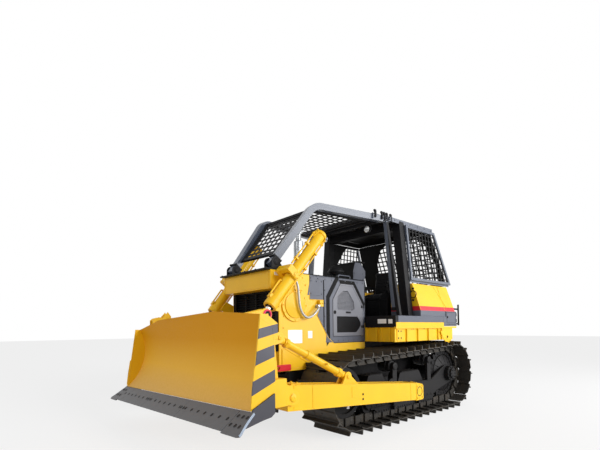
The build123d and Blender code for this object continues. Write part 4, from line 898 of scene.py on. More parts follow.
def on_arc(degrees, across):
    """A place just ahead of the moldboard's hollow face, by its angle above the arc's centre."""
    t = math.radians(degrees)
    return ARC_CENTRE + Vector((-math.cos(t), 0, math.sin(t))) * (ARC_RADIUS + 0.6) + LEFT * across


seams = Shape()
seams.pipe([on_arc(degrees, 580) for degrees in range(-49, 36, 3)], 1.6, 6)
for x, z, end_x, end_z in ((2546, 1538, 2676, 640), (2402, 1436, 2400, 860)):
    seams.weld((x, 1738, z), (end_x, 1738, end_z), 4)
seams.pipe([on_arc(-49 + 6 * i, 1450 + 45 * i) for i in range(7)], 1.6, 6)
for station in (430, 1080, 1660):
    for face in (-16, 16):
        seams.weld((2303, station + face, 902), (2395, station + face, 902), 5)
for face in (-146, -111, 111, 146):
    seams.weld((2236, ARM_Y + face, 650), (2236, ARM_Y + face, 880), 6)
seams.paired().weld(edge_point(-1730, -0.02, 2), edge_point(1730, -0.02, 2), 5)
piece("blade_welds", seams.moved(roll_about), "blade", "blade")

# plates added on the end plates, each with a curved upper edge and a step ahead of the plate's front
added = Shape()
outline = (
    (2643, 1037), (2618, 1056), (2590, 1063), (2550, 1057), (2510, 1043), (2476, 1024), (2448, 1004),
    (2428, 981), (2416, 950), (2414, 800), (2428, 779), (2684, 660), (2695, 664), (2673, 850),
)
added.slab(outline, (1744, 1759))
# the plate's upper rear edge, level with the moldboard's shoulder
crest = ((2350, 1290), (2350, 1452), (2482, 1542), (2558, 1542), (2560, 1500), (2420, 1420), (2410, 1290))
added.slab(crest, (1737, 1756))
blade_piece("end_plate_doublers", added, "hazard", 1.5)

# pin retainers on the blade's back, the lift pins' rings and grease caps
retainers = Shape()
for off in (-1, 1):
    for x, z, reach, radius in ((2050, 670, 145, 40), (2140, 1309, 62, 24)):
        profile = ((radius, -2), (radius, 7), (radius - 6, 10), (8, 10), (7, 6))
        retainers.lathe((x, ARM_Y + off * reach, z), LEFT * off, profile, 24)
    disc = ((46, -1), (46, 5), (40, 7), (30, 7), (28, 2))
    retainers.lathe((2050, ARM_Y + off * 141, 670), LEFT * off, disc)
blade_piece("blade_pin_covers", retainers, "yellow")
for side, sign in SIDES:
    lift_pin, hub = Shape(), Shape()
    for out in (-1, 1):
        face = Vector((LIFT_PIN_X, sign * LIFT_Y + out * 70, lift_pin_z(sign)))
        lift_pin.ring(face + LEFT * out * 5, LEFT, 52, 12)
        hub.lathe(face, LEFT * out, ((42, -1), (42, 6), (34, 9), (12, 9), (11, 4)))
        hub.bolt_circle(face + LEFT * out * 6, LEFT * out, 27, 3, 6)
    piece(f"lift_pin_rings_{side}", lift_pin, "pink", "blade")
    piece(f"lift_pin_covers_{side}", hub, "coal", "blade")

# plates that stand up over the right brace's bracket
raised = Shape()
outline = (
    (2094, 1300), (2094, 1742), (2149, 1815), (2234, 1720), (2300, 1728), (2370, 1708), (2401, 1677),
    (2400, 1440), (2240, 1300),
)
for off in (-58, 58):
    raised.slab(outline, (-ARM_Y + off - 6, -ARM_Y + off + 6))
raised.tube((2152, -ARM_Y - 68, 1735), (2152, -ARM_Y + 68, 1735), 26)
piece("brace_bracket_tops", raised.moved(roll_about), "yellow", "blade", bevel=2)


def arm_z(sign, x, above=0):
    """Height on an arm's side: its centre line, or an edge at above = -1 or 1."""
    front_z = ROLL_Z + sign * ARM_Y * math.sin(ROLL) + (670 - ROLL_Z) * math.cos(ROLL)
    share = (x - ARM_PIN_X) / ARM_RUN
    return ARM_PIN_Z + (front_z - ARM_PIN_Z) * share + above * (120 + 17.5 * share)


# push arms: welded seams, the bearing cap round the trunnion, and the bolted joint near the front pin
ARM_OUTER, ARM_INNER = ARM_Y + 100, ARM_Y - 100
CHEEK = ((-364, 648), (-526, 616), (-552, 592), (-552, 414), (-536, 398), (-364, 398))
for side, sign in SIDES:
    arm, cap, foot_pin = Shape(), Shape(), Shape()
    for y in (ARM_INNER + 1, ARM_OUTER - 1):
        for above in (-1, 1):
            arm.weld(*[(x, sign * y, arm_z(sign, x, above)) for x in (-330, 1980)], 4)
    for y, out in ((sign * ARM_OUTER, sign), (sign * ARM_INNER, -sign)):
        # cheek plate round the trunnion, the bearing cap's split line and its bolts
        face = y + out * 4
        arm.slab(CHEEK, (y, face))
        for low, high in ((400, 446), (594, 632)):
            arm.pipe([(-440, face, low), (-440, face, high)], 3, 6)
        arm.bolt_grid((-520, -392), face, (430, 596), LEFT * out)
        # bolted joint ahead of the brace foot and the strap by the front pin
        arm.weld(*[(2012, y, arm_z(sign, 2012, above)) for above in (-1, 1)], 4)
        for x, width in ((1700, 36), (-250, 30)):
            corners = ((x, -1), (x + width, -1), (x + width, 1), (x, 1))
            arm.slab([(at, arm_z(sign, at, above) - 8 * above) for at, above in corners], (y, y + out * 3))
    arm.bolts([(x, sign * ARM_Y, 618 + (x + 558) * 0.2) for x in range(-520, -380, 46)], (-0.2, 0, 1), 10)
    top = arm_z(sign, 1965, 1)
    arm.block((1900, 2030), (sign * (ARM_Y - 76), sign * (ARM_Y + 76)), (top - 2, top + 10))
    arm.bolt_grid((1925, 2005), (sign * (ARM_Y - 50), sign * (ARM_Y + 50)), top + 10, UP, 12)
    piece(f"arm_seams_{side}", arm, "yellow", "blade")
    trunnion = Vector((ARM_PIN_X, sign * ARM_Y, ARM_PIN_Z))
    cap.lathe(trunnion + LEFT * sign * 80, LEFT * sign, ((59, 0), (59, 3), (50, 4), (16, 4), (14, 1)), 32)
    cap.bolt_circle(trunnion + LEFT * sign * 84, LEFT * sign, 36, 3, 9)
    cap.ring(trunnion + LEFT * sign * 104, LEFT, 66, 5, 36)
    cap.bolts([(860, sign * ARM_OUTER, arm_z(sign, 860) - z) for z in (0, 60)], LEFT * sign, 10)
    piece(f"arm_caps_{side}", cap, "coal", "blade", bevel=1)
    foot = Vector((FOOT_X, sign * ARM_Y, arm_z(sign, FOOT_X) + FOOT_RISE))
    for out in (-LEFT, LEFT):
        foot_pin.lathe(foot + out * 60, out, ((24, -2), (24, 7), (18, 9), (6, 9)), 24)
        foot_pin.lathe(foot + out * 55, out, ((36, 0), (36, 4)), 24)
    piece(f"foot_pin_caps_{side}", foot_pin, "yellow", "blade", bevel=1)
tag = Shape().slab(((1000, 606), (1072, 610), (1072, 748), (1000, 744)), (ARM_OUTER + 0.5, ARM_OUTER + 2.5))
side_pieces("arm_tag", tag, "yellow", "blade", 0.6)

# the brace: its screw, locking nut and rod ends; the tilt cylinder: head, gland, ports and their fittings
brace, brace_steel = Shape(), Shape()
for side, sign in SIDES:
    foot = Vector((FOOT_X, sign * ARM_Y, arm_z(sign, FOOT_X) + FOOT_RISE))
    top = roll_about @ Vector((2140, sign * ARM_Y, 1309))
    run = (top - foot).normalized()
    far = (top - foot).length

    def turned(reach, profile, sides):
        brace.lathe(foot + run * reach, run, profile, sides)

    for spot, out in ((foot, run), (top, -run)):
        brace.lathe(spot + out * 46, out, ((34, 0), (44, 10), (46, 40), (30, 62)), 24)
    if sign > 0:
        turned(104, ((47, 0), (60, 6), (60, 60), (47, 70)), 6)
        turned(620, ((46, 0), (54, 4), (54, 96), (46, 102)), 28)
        turned(far - 172, ((46, 0), (58, 4), (58, 44), (46, 48)), 6)
        for i in range(16):
            start = foot + run * (far - 126 + 4.5 * i)
            brace_steel.lathe(start, run, ((24, 0), (28, 1.6), (24, 3.4)), 20)
        brace.tube(foot + run * 420 - LEFT * 90, foot + run * 420 + LEFT * 90, 11, 12)
    else:
        turned(112, ((77, 0), (86, 4), (86, 40), (77, 46)), 32)
        turned(690, ((77, 0), (90, 6), (90, 96), (60, 104), (40, 106)), 32)
        brace.bolt_circle(foot + run * 792, run, 66, 8, 9)
        up = LEFT.cross(run).normalized()
        up = up if up.z > 0 else -up
        for length in (150, 730):
            port = foot + run * length
            brace.lathe(port + up * 70, up, ((30, 0), (30, 28), (22, 34)), 16)
            brace_steel.lathe(port + up * 104, up, ((20, -2), (20, 16)), 6)
piece("brace_fittings", brace, "yellow", "blade", bevel=1)
piece("brace_screw_threads", brace_steel, "steel", "blade")

# ---- canopy --------------------------------------------------------------------------------------
# the rollover frame takes the near-black coal paint, where the sweeps of the same tubes take the tube paint:
# painted shade, for posts and rails that stand in shade
rounded("coal", rollover_frame=7, guard_cap=5)
rounded("tube", sweeps=14)


def outline_normal(corners):
    return (corners[1] - corners[0]).cross(corners[2] - corners[1]).normalized()


def inset(corners, depth):
    """The corners of a flat outline, each edge drawn in by a depth."""
    corners = [Vector(corner) for corner in corners]
    result = []
    for i, here in enumerate(corners):
        before = (corners[i - 1] - here).normalized()
        after = (corners[(i + 1) % len(corners)] - here).normalized()
        result.append(here + (before + after).normalized() * (depth / math.sin(before.angle(after) / 2)))
    return result


def hatch(corners, direction, spacing):
    """Segments parallel to a direction that cross a flat outline, evenly spaced."""
    normal = outline_normal(corners)
    run = Vector(direction)
    run = (run - normal * run.dot(normal)).normalized()
    step = normal.cross(run)
    flat = [((corner - corners[0]).dot(run), (corner - corners[0]).dot(step)) for corner in corners]
    low, high = min(b for _, b in flat), max(b for _, b in flat)
    count = max(1, round((high - low) / spacing))
    segments = []
    for i in range(count):
        b = low + (high - low) * (i + 0.5) / count
        cuts = []
        for (a0, b0), (a1, b1) in zip(flat, flat[1:] + flat[:1]):
            if (b0 - b) * (b1 - b) < 0:
                cuts.append(a0 + (a1 - a0) * (b - b0) / (b1 - b0))
        if len(cuts) == 2:
            segments.append([corners[0] + run * a + step * b for a in sorted(cuts)])
    return segments


SCREEN_TUBE, SCREEN_DEPTH = 50, 40


def screen(corners, *meshes, margin=SCREEN_TUBE):
    """A bolted tube frame round meshes of (direction, spacing, half width, half depth, offset)."""
    outer = [Vector(corner) for corner in corners]
    inner, normal = inset(outer, SCREEN_TUBE), outline_normal(outer)
    depth = normal * SCREEN_DEPTH
    rim = Shape().loft([outer, inner, [p + depth for p in inner], [p + depth for p in outer]], loop=True)
    grid = Shape()
    clear = inset(outer, margin)
    if margin > SCREEN_TUBE:
        rings = [inset(outer, SCREEN_TUBE - 4), clear]
        levels = zip(rings + rings[::-1], (0.35, 0.35, 0.65, 0.65))
        grid.loft([[p + depth * share for p in ring] for ring, share in levels], loop=True)
    for direction, spacing, half, thick, offset in meshes:
        for start, end in hatch(clear, direction, spacing):
            run = (end - start).normalized()
            side, out = normal.cross(run) * half, normal * thick
            centre = depth / 2 + normal * offset
            section = [centre - side - out, centre + side - out, centre + side + out, centre - side + out]
            grid.loft([[point + corner for corner in section] for point in (start - run * 8, end + run * 8)])
    fixings = Shape()
    line = inset(outer, SCREEN_TUBE / 2)
    for start, end in zip(line, line[1:] + line[:1]):
        fixings.bolts(along(start, end, max(3, round((end - start).length / 260)))[:-1], -normal)
    return rim, grid, fixings


ROOF_BOTTOM, ROOF_TOP, DECK_TOP = 3345, 3399.5, 1658
ROOF_FRONT, ROOF_REAR = -330, -2090
CANOPY_HALF, CANOPY_LEAN = 900, 160 / (ROOF_BOTTOM - DECK_TOP)


def canopy_side(z):
    """Distance of the canopy's outer side face from the middle line, at a height."""
    return CANOPY_HALF + CANOPY_LEAN * (ROOF_BOTTOM - z)


def four(low, high):
    """The corners of an upright or slanted screen from its two ends (x, half width, z)."""
    return [(x, side * half, z) for (x, half, z), side in ((low, 1), (low, -1), (high, -1), (high, 1))]


SCREEN_TOP, SCREEN_FOOT, SCREEN_FRONT, SCREEN_REAR = 3264.7, 2280, -1135.3, -2510
top_y, foot_y = canopy_side(SCREEN_TOP), canopy_side(SCREEN_FOOT)
side_corners = [
    (SCREEN_FRONT, foot_y, SCREEN_FOOT), (SCREEN_REAR, foot_y, SCREEN_FOOT),
    (ROOF_REAR, top_y, SCREEN_TOP), (SCREEN_FRONT, top_y, SCREEN_TOP),
]
rim, grid, fixings = screen(side_corners, ((0, 0.1, -1), 102, 11, 5, 4), (AHEAD, 102, 9, 4, -6))
fixings.paired()
piece("side_screen_frames", rim.paired(), "tube", bevel=5, replaces=("side_screens",))
piece("side_screen_mesh", grid.paired(), "coal")
rim, grid, bolts = screen(
    four((ROOF_REAR, top_y - 46, SCREEN_TOP), (SCREEN_REAR, foot_y - 46, SCREEN_FOOT)),
    ((-0.4, 0, -1), 102, 12, 5, 4), (LEFT, 102, 12, 5, -5),
)
piece("rear_screen_frame", rim, "coal", bevel=5, replaces=("rear_screen",))
piece("rear_screen_mesh", grid, "coal")
fixings.join(bolts)


def side_plane(x, z, inward):
    return x, inward - canopy_side(z), z


def rear_plane(y, z, inward):
    return inward + ROOF_REAR - (SCREEN_TOP - z) * 420 / (SCREEN_TOP - SCREEN_FOOT), y, z


# dark plates behind the mesh on the right and at the rear, each with a rounded opening: painted shade where
# the canopy's inside lies in shade
painted_shade_plate = Shape()
for plane, depth, outline, opening in (
    (
        side_plane, 52,
        (
            (-1150, 2330), (-1150, 2700), (-1150, 3240), (-1400, 3240), (-1640, 3240), (-2085, 3240),
            (-2475, 2330),
        ),
        (
            (-1178, 2345), (-1290, 2700), (-1388, 2878), (-1560, 3150), (-1640, 3205), (-2060, 3205),
            (-2430, 2345),
        ),
    ),
    (
        rear_plane, 50,
        (
            (905, 2330), (890, 2696), (868, 2907), (840, 3140), (815, 3228), (-815, 3228), (-840, 3140),
            (-868, 2864), (-890, 2600), (-905, 2330),
        ),
        (
            (820, 2345), (850, 2696), (795, 2907), (697, 3125), (545, 3210), (-140, 3210), (-320, 3115),
            (-476, 2864), (-512, 2600), (-512, 2345),
        ),
    ),
):
    levels = ((outline, depth), (opening, depth), (opening, depth + 8), (outline, depth + 8))
    painted_shade_plate.loft([[plane(*point, inward) for point in line] for line, inward in levels], loop=True)
piece("screen_painted_shade_plates", painted_shade_plate, "plastic")
# bands of the tube paint on the outer sides of the canopy's rails, over the coal frame: painted light, the
# sides that face the light drawn lighter
bands = Shape()
section = ((2248, 0), (2248, 5), (2336, 5), (2336, 0))
bands.loft([[(x, canopy_side(z) + out, z) for z, out in section] for x in (-2478, -1132)])
bands.block((ROOF_REAR, -600), (CANOPY_HALF - 1, CANOPY_HALF + 3), (3268, 3343))
bands.bolt_grid(range(-2040, -620, 234), CANOPY_HALF + 3, 3306, LEFT, 9)
piece("canopy_lit_side_bands", bands.paired(), "tube", bevel=1.5)

# the front screens, both of broad flat bars: a slanted one between the risers and a level one above
share = 0.18
lower = (1475 - share * 675, 500 + share * 120 - 51, 2385 + share * 900)
upper_x, upper_y, upper_z = 770, 561, 3265
rear_y = 620 + (800 - ROOF_FRONT) / 1460 * 238 - 57
rims, grids = Shape(), Shape()
for corners, bars in (
    (four(lower, (upper_x, upper_y, upper_z)), ((-0.6, 0, 0.8), LEFT)),
    (four((upper_x + 20, upper_y, upper_z), (ROOF_FRONT, rear_y, upper_z)), (AHEAD, LEFT)),
):
    meshes = [(direction, 112, 19, 3, off) for direction, off in zip(bars, (2, -2))]
    rim, grid, _ = screen(corners, *meshes, margin=84)
    rims.join(rim)
    grids.join(grid)
piece("front_screen_frames", rims, "coal", bevel=5, replaces=("front_screen",))
piece("front_screen_mesh", grids, "coal")
piece("screen_bolts", fixings, "coal")


def roof_outline(margin, corner, z):
    """The roof's outline with cut corners, drawn in by a margin."""
    x0, x1, half = ROOF_REAR + margin, ROOF_FRONT - margin, 850 - margin
    return [
        (x0 + corner, -half, z), (x1 - corner, -half, z), (x1, -half + corner, z), (x1, half - corner, z),
        (x1 - corner, half, z), (x0 + corner, half, z), (x0, half - corner, z), (x0, -half + corner, z),
    ]


# roof: a pressed sheet that rises from its thin edge, with ribs and bolts
roof = Shape()
sheet = (
    (4, 40, 3346), (0, 40, 3348), (0, 40, 3352), (74, 38, 3360), (150, 34, 3380), (212, 30, 3398),
    (240, 30, 3399), (250, 30, 3388),
)
roof.loft([roof_outline(*level) for level in sheet])
for y in (-450, -150, 150, 450):
    roof.block((-1840, -580), (y - 46, y + 46), (3387, 3393))
    roof.block((-1810, -610), (y - 26, y + 26), (3392, ROOF_TOP))
piece("roof_sheet", roof, "tube", bevel=3, replaces=("roof",))
trim = Shape().bolts(along((-2060, 826, 3355), (-360, 826, 3355), 9), UP, 7)
# lugs where the risers meet the roof's rails, and strut eyes beside them
hook = ((-14, 3262), (14, 3262), (14, 3350), (34, 3368), (30, 3392), (-2, 3388), (-14, 3370))
for middle in (-765, -655, -585, -520, -340):
    trim.slab([(middle + x, z) for x, z in hook], (880, 909))
trim.block((-720, -560), (800, 905), (3240, 3258))
trim.bolt_grid((-700, -620), 909, (3290, 3322), LEFT)
# foot plate of the rear post, bolted to the deck
trim.block((-1160, -965), (890, 1080), (1659, 1671))
trim.bolt_grid((-1150, -975), (912, 1064), 1671, UP, 12)
# the slim post's painted sleeve, and its clevis and pin at the foot
POST_X, SLEEVE_HALF = -640, 31.5
sleeve = []
for z in (1790, 3250):
    y = canopy_side(z) + 1.5
    corners = ((-1, y - 63), (1, y - 63), (1, y), (-1, y))
    sleeve.append([(POST_X + SLEEVE_HALF * side, across, z) for side, across in corners])
foot = canopy_side(1760)
trim.lathe((POST_X, 1110, 1659), UP, ((58, 0), (58, 10), (30, 12)), 24)
trim.block((POST_X - 35, POST_X + 35), (foot - 68, foot + 3), (1745, 1800))
trim.lathe((POST_X, foot + 2, 1772), LEFT, ((17, 0), (17, 8), (12, 10)), 20)
piece("canopy_fittings", trim.paired(), "coal", bevel=1.5)
piece("strut_sleeves", Shape().loft(sleeve).paired(), "tube", bevel=4)

# feet of the risers: a collar plate square to each tube, cheeks with the pin's cap, gussets and welds
feet = Shape()
riser = Vector((1475, 500, 2385))
rise = Vector((-675, 120, 900)).normalized()
wide = rise.cross(Vector((-1460, 238, 0))).normalized()
deep = rise.cross(wide)


def collar(up, half):
    """The corners of a square across the riser's tube, at a distance up it."""
    return [riser + rise * up + (wide * a + deep * b) * half for a, b in ((-1, -1), (1, -1), (1, 1), (-1, 1))]


feet.prism(collar(62, 76), rise * 22)
feet.prism(collar(84, 62), rise * 10)
feet.bolts(collar(84, 64), rise, 9)
for out in (-1, 1):
    y = riser.y + out * 92
    feet.lathe((riser.x, y, riser.z), LEFT * out, ((46, -1), (46, 5), (40, 8), (28, 8), (26, 12), (10, 12)))
    feet.slab(((1370, 2291), (1400, 2291), (1420, 2330), (1400, 2360)), (y - 11, y + 11))
    feet.weld((1402, y + out * 2, 2293), (1548, y + out * 2, 2293), 6)
feet.bolt_grid((1110, 1640), (60, 330, 570), 2290, UP, 12)
feet.paired().block((1036, 1660), (-596, 596), (2268, 2271))
piece("riser_feet", feet, "coal", bevel=2)

# work lamps under the roof, and the lining behind them
lamps, faces = Shape(), Shape()
y = 500
lamps.lathe((-680, y, 3190), AHEAD, ((30, 2), (46, 12), (62, 40), (68, 66), (68, 78), (62, 78), (60, 70)), 32)
faces.lathe((-612, y, 3190), AHEAD, ((60, 0), (48, 5), (24, 8), (6, 9)), 32)
for off in (-74, 68):
    lamps.block((-650, -625), (y + off, y + off + 6), (3168, 3242))
lamps.block((-652, -620), (y - 74, y + 74), (3236, 3244))
lamps.tube((-635, y, 3240), (-635, y, 3264), 12, 16)
piece("lamp_bodies", lamps.paired(), "plastic", bevel=1, replaces=("work_lamps",))
piece("lamp_faces", faces.paired(), "glass")
lining = Shape()
lining.loft([roof_outline(90, 34, 3344), roof_outline(120, 34, 3322)])
lining.block((-1130, -1010), (-700, 700), (3196, 3216))
lining.lathe((-860, 0, 3318), -UP, ((70, 0), (66, 16), (40, 22)))
piece("roof_lining", lining, "plastic", bevel=4)

# ---- the hull's plain CAD pieces, with rounded edges ---------------------------------------------
rounded("yellow", radiator_guard=8, cylinder_yokes=6, fenders=4, fuel_tank=8)
rounded("slate", hood=6, side_panels=3, deck=4)
rounded("coal", front_boxes=5, cab_support=6, main_frame=8, drawbar=6, track_frames=7, final_drives=5)
rounded("tank", side_tanks=8, rear_boxes=6)
rounded("red", tow_eyes=4)

# ---- radiator guard and lift gear ----------------------------------------------------------------
PANEL_Y = 580
# folded lip round the side plate's pocket, with its corner welds
guard = Shape()
outline = ((1385, 905), (1385, 1190), (1330, 1190), (925, 985), (915, 950), (935, 915))
pocket = [(x, PANEL_Y, z) for x, z in outline]
guard.prism(inset(pocket, 12), LEFT * 5)
guard.pipe([Vector(point) + LEFT * 2 for point in pocket + pocket[:1]], 5, 8)
guard.weld((1428, PANEL_Y, 1160), (1428, PANEL_Y, 2005), 5)
guard.weld((1050, 603, 2008), (1580, 603, 2008), 5)
guard.block((1392, 1428), (PANEL_Y, PANEL_Y + 5), (1200, 2005))
spots = ((1345, 1640), (1350, 1480), (1350, 1300), (930, 2100), (990, 2200))
guard.bolts([(x, PANEL_Y, z) for x, z in spots], LEFT, 10)
guard.bolt_grid((990, 1060), PANEL_Y, (1080, 1160), LEFT, 13)
guard.bolt_circle((1150, 602, 1800), LEFT, 212, 12, 9)
guard.lathe((1150, 600, 1800), LEFT, ((188, -1), (186, 14), (176, 17), (70, 17), (60, 20), (30, 20)), 48)
# folded flange along the notched rear edge, and the stop block behind the yoke
edge = [
    (x, PANEL_Y + 1, z)
    for x, z in ((852, 2000), (852, 1894), (562, 1894), (642, 1782), (702, 1662), (477, 1332), (347, 1236))
]
for start, end in zip(edge, edge[1:]):
    guard.tube(start, end, 4.5, 8)
guard.block((612, 690), (PANEL_Y, 632), (1792, 1884))
guard.bolt_grid((630, 672), 632, 1838, LEFT, 9)
# embossed pocket on the beam's front and its folded lower lip
guard.paired()
for z in (2034, 2246):
    guard.block((1583, 1589), (-560, 560), (z - 3, z + 3))
for y in (-560, 560):
    guard.block((1583, 1589), (y - 3, y + 3), (2034, 2246))
guard.bolt_grid(1585, (-582, 582), (2030, 2250), AHEAD, 9)
piece("guard_details", guard, "yellow", bevel=1.2)

# gusset plates behind the lift cylinders, on the guard's front corners
gusset = ((1424, 1700), (1424, 1830), (1462, 1850), (1558, 1893), (1670, 1768), (1600, 1728))
piece("front_gussets", Shape().slab(gusset, (PANEL_Y, PANEL_Y + 16)).paired(), "yellow", bevel=2)

# bumper: pocket behind the blade, front tow pin, and the grille's frame, dividers and core
front = Shape()
front.block((1428, 1436), (-300, 300), (930, 1080))
front.block((1432, 1442), (-260, 260), (955, 1055))
for y in (-160, 160):
    hook = ((1430, 960), (1500, 960), (1520, 990), (1520, 1020), (1500, 1050), (1430, 1050))
    front.slab(hook, (y - 14, y + 14))
front.tube((1495, -190, 1005), (1495, 190, 1005), 22)
front.bolt_grid(1436, (-280, 280), (945, 1065), AHEAD, 14)
piece("bumper_details", front, "yellow", bevel=2)
grille = Shape().block((1429, 1433), (500, 573), (1162, 2004)).paired()
for z in range(1172, 1965, 36):
    grille.slab(((1372, z), (1398, z - 15), (1400, z - 12), (1376, z + 5)), (-520, 520))
for y in range(-530, 531, 265):
    grille.block((1368, 1404), (y - 9, y + 9), (1152, 2008))
for z in (1152, 1984):
    grille.block((1368, 1404), (-552, 552), (z, z + 24))
grille.block((1352, 1362), (-550, 550), (1155, 2005))
for y in (-380, -130, 130, 380):
    grille.block((1362, 1370), (y - 90, y + 90), (1546, 1574))
piece("grille_louvres", grille, "plastic", bevel=1, replaces=("radiator_grille",))

# lift cylinders: head caps, glands, trunnion rings, and on both faces a steel pipe held by two clamps
BARREL_HEAD, GLAND, PORT = -870, 453, -812
PIVOT_X, PIVOT_Z = 1350, 2178
for side, sign in SIDES:
    pivot = Vector((PIVOT_X, sign * LIFT_Y, PIVOT_Z))
    eye = Vector((LIFT_PIN_X, sign * LIFT_Y, lift_pin_z(sign)))
    down = (eye - pivot).normalized()
    over = Vector((-down.z, 0, down.x))
    body = f"lift_barrel_{side}"
    rounded("yellow", **{body: 4})
    barrel, couplings = Shape(), Shape()

    def spot(length, out=0, aside=0):
        """A place along the barrel from its trunnion, out over its front and to its side."""
        return pivot + down * length + over * out + LEFT * aside

    def plate(length, out, corners):
        """A flat outline on the barrel's face, of (along, aside) corners."""
        return [spot(length + a, out, b) for a, b in corners]

    barrel.lathe(spot(BARREL_HEAD - 2), -down, ((85, -6), (80, 4), (60, 12), (30, 14)), 32)
    barrel.lathe(spot(BARREL_HEAD + 20), down, ((88, -14), (92, -10), (92, 24), (86, 30)), 36)
    barrel.bolt_circle(spot(BARREL_HEAD - 2), -down, 64, 6, 10)
    barrel.lathe(spot(GLAND + 17), down, ((79, 0), (93, 6), (93, 96), (88, 101), (70, 104), (40, 106)), 36)
    barrel.bolt_circle(spot(GLAND + 119), down, 68, 8, 9)
    # the trunnion's ring round the barrel, with a boss over each pin
    barrel.lathe(spot(-52), down, ((79, 0), (82.5, 4), (82.5, 100), (79, 104)), 40)
    upper = [(PORT, 84), (PORT, 100), (-800, 109), (-776, 112), (-500, 112), (-140, 112)]
    behind = [(-40, 104), (0, 101), (60, 101), (300, 101), (GLAND - 24, 101), (GLAND - 6, 97), (GLAND, 84)]
    lower = [(176, 84), (176, 98), (186, 106), (206, 107), (GLAND - 30, 104), (GLAND - 8, 98), (GLAND, 84)]
    for line, face in ((upper + behind, -1), (upper, 1), (lower, 1)):
        couplings.pipe([spot(length, face * out) for length, out in line], 12, 12)
    for face in (-1, 1):
        out = over * face
        barrel.prism(plate(PORT, face * 74, ((-84, 0), (0, -60), (84, 0), (0, 60))), out * 22)
        barrel.lathe(spot(PORT, face * 94), out, ((32, -2), (32, 8), (24, 14)), 24)
        barrel.bolts([spot(PORT + a, face * 96) for a in (-60, 60)], out, 8)
        barrel.prism(plate(GLAND, face * 72, ((-34, -30), (26, -30), (26, 30), (-34, 30))), out * 34)
        barrel.bolts(plate(GLAND, face * 106, ((-22, -20), (-22, 20), (14, -20), (14, 20))), out, 6)
        for length in (-560, -250):
            barrel.prism(plate(length, face * 74, ((-14, -28), (14, -28), (14, 28), (-14, 28))), out * 52)
            couplings.bolt(spot(length, face * 126), out, 8)
        couplings.lathe(spot(-766, face * 112), -down, ((19, -12), (19, 14), (15, 18)), 6)
    piece(f"barrel_pipes_{side}", barrel, "yellow", body, bevel=1)
    piece(f"barrel_couplings_{side}", couplings, "yellow", body)
    wiper = Shape().lathe(spot(574), down, ((62, -2), (62, 2), (50, 4), (39.5, 4)), 32)
    piece(f"rod_wiper_{side}", wiper, "rubber", body)
    # the rod's eye: a short welded collar and the bushing's faces
    rod = Shape().lathe(eye - down * 72, down, ((39, 0), (50, 6), (54, 16), (54, 24)))
    for out in (-LEFT, LEFT):
        rod.lathe(eye + out * 37, out, ((67, -3), (67, 1), (60, 2), (46, 2)), 32)
    piece(f"rod_eye_{side}", rod, "yellow", f"lift_rod_{side}")
    # yoke: caps over the trunnion's pins with their bolts, bolts on the bridge, and weld beads to the guard
    yoke = Shape()
    outward = LEFT * sign
    yoke.lathe(pivot + outward * 114, outward, ((52, -1), (52, 5), (46, 8), (24, 8), (22, 5)), 32)
    yoke.bolt_circle(pivot + outward * 120, outward, 36, 4, 8)
    for start in (0.25, 0.75, 1.25, 1.75):
        turns = [math.pi * start + 0.14 * i for i in range(10)]
        bead = [pivot + Vector((math.cos(t), 0, math.sin(t))) * 62 - outward * 156 for t in turns]
        yoke.pipe(bead, 5, 6, 0.16)
    row = (-120, -40, 40, 98)
    yoke.bolts([spot(length, 162, sign * aside) for length in (-28, 28) for aside in row], over, 10)
    piece(f"yoke_caps_{side}", yoke, "yellow", bevel=1)


# ---- engine side panels and doors ----------------------------------------------------------------
def inside(outline, x, z):
    """Whether a point lies within a flat outline."""
    hit = False
    for (ax, az), (bx, bz) in zip(outline, (*outline[1:], outline[0])):
        if (az > z) != (bz > z) and x < ax + (bx - ax) * (z - az) / (bz - az):
            hit = not hit
    return hit


def perforated(outline, y, pitch, hole):
    """A sheet of round holes laid out in rows inside an outline (x, z), at one y."""
    shape = Shape()
    xs, zs = zip(*outline)
    cell = pitch / math.sqrt(3)
    turns = [math.radians(30 + 60 * i) for i in range(6)]
    row, z = 0, min(zs)
    while z < max(zs):
        x = min(xs) + (pitch / 2 if row % 2 else 0)
        while x < max(xs):
            if inside(outline, x, z):
                rim, lip, deep = [
                    [(x + radius * math.cos(t), y - sunk, z + radius * math.sin(t)) for t in turns]
                    for radius, sunk in ((cell, 0), (hole, 0), (hole, 2.5))
                ]
                shape.loft([rim, lip, deep], caps=False)
            x += pitch
        z += cell * 1.5
        row += 1
    return shape


DOOR = ((355, 1340), (355, 1912), (178, 2170), (-125, 2170), (-375, 1836), (-375, 1340))
UPPER = (
    (262, 1796), (246, 1968), (118, 2058), (4, 2062), (-140, 1888), (-150, 1776), (-100, 1752), (240, 1752),
)
LOWER = ((270, 1398), (270, 1652), (-225, 1652), (-306, 1560), (-306, 1500), (-200, 1398))
DOOR_FACE = 585
door_outline = [(x, 0, z) for x, z in DOOR]


def outset(depth):
    """The door's outline (x, z) grown by a depth."""
    return [(point.x, point.z) for point in inset(door_outline, -depth)]


skin = Shape()
inner = outset(-26)
levels = ((DOOR, 564), (DOOR, 586), (inner, 590), (inner, 566))
skin.loft([[(x, y, z) for x, z in ring] for ring, y in levels], loop=True)
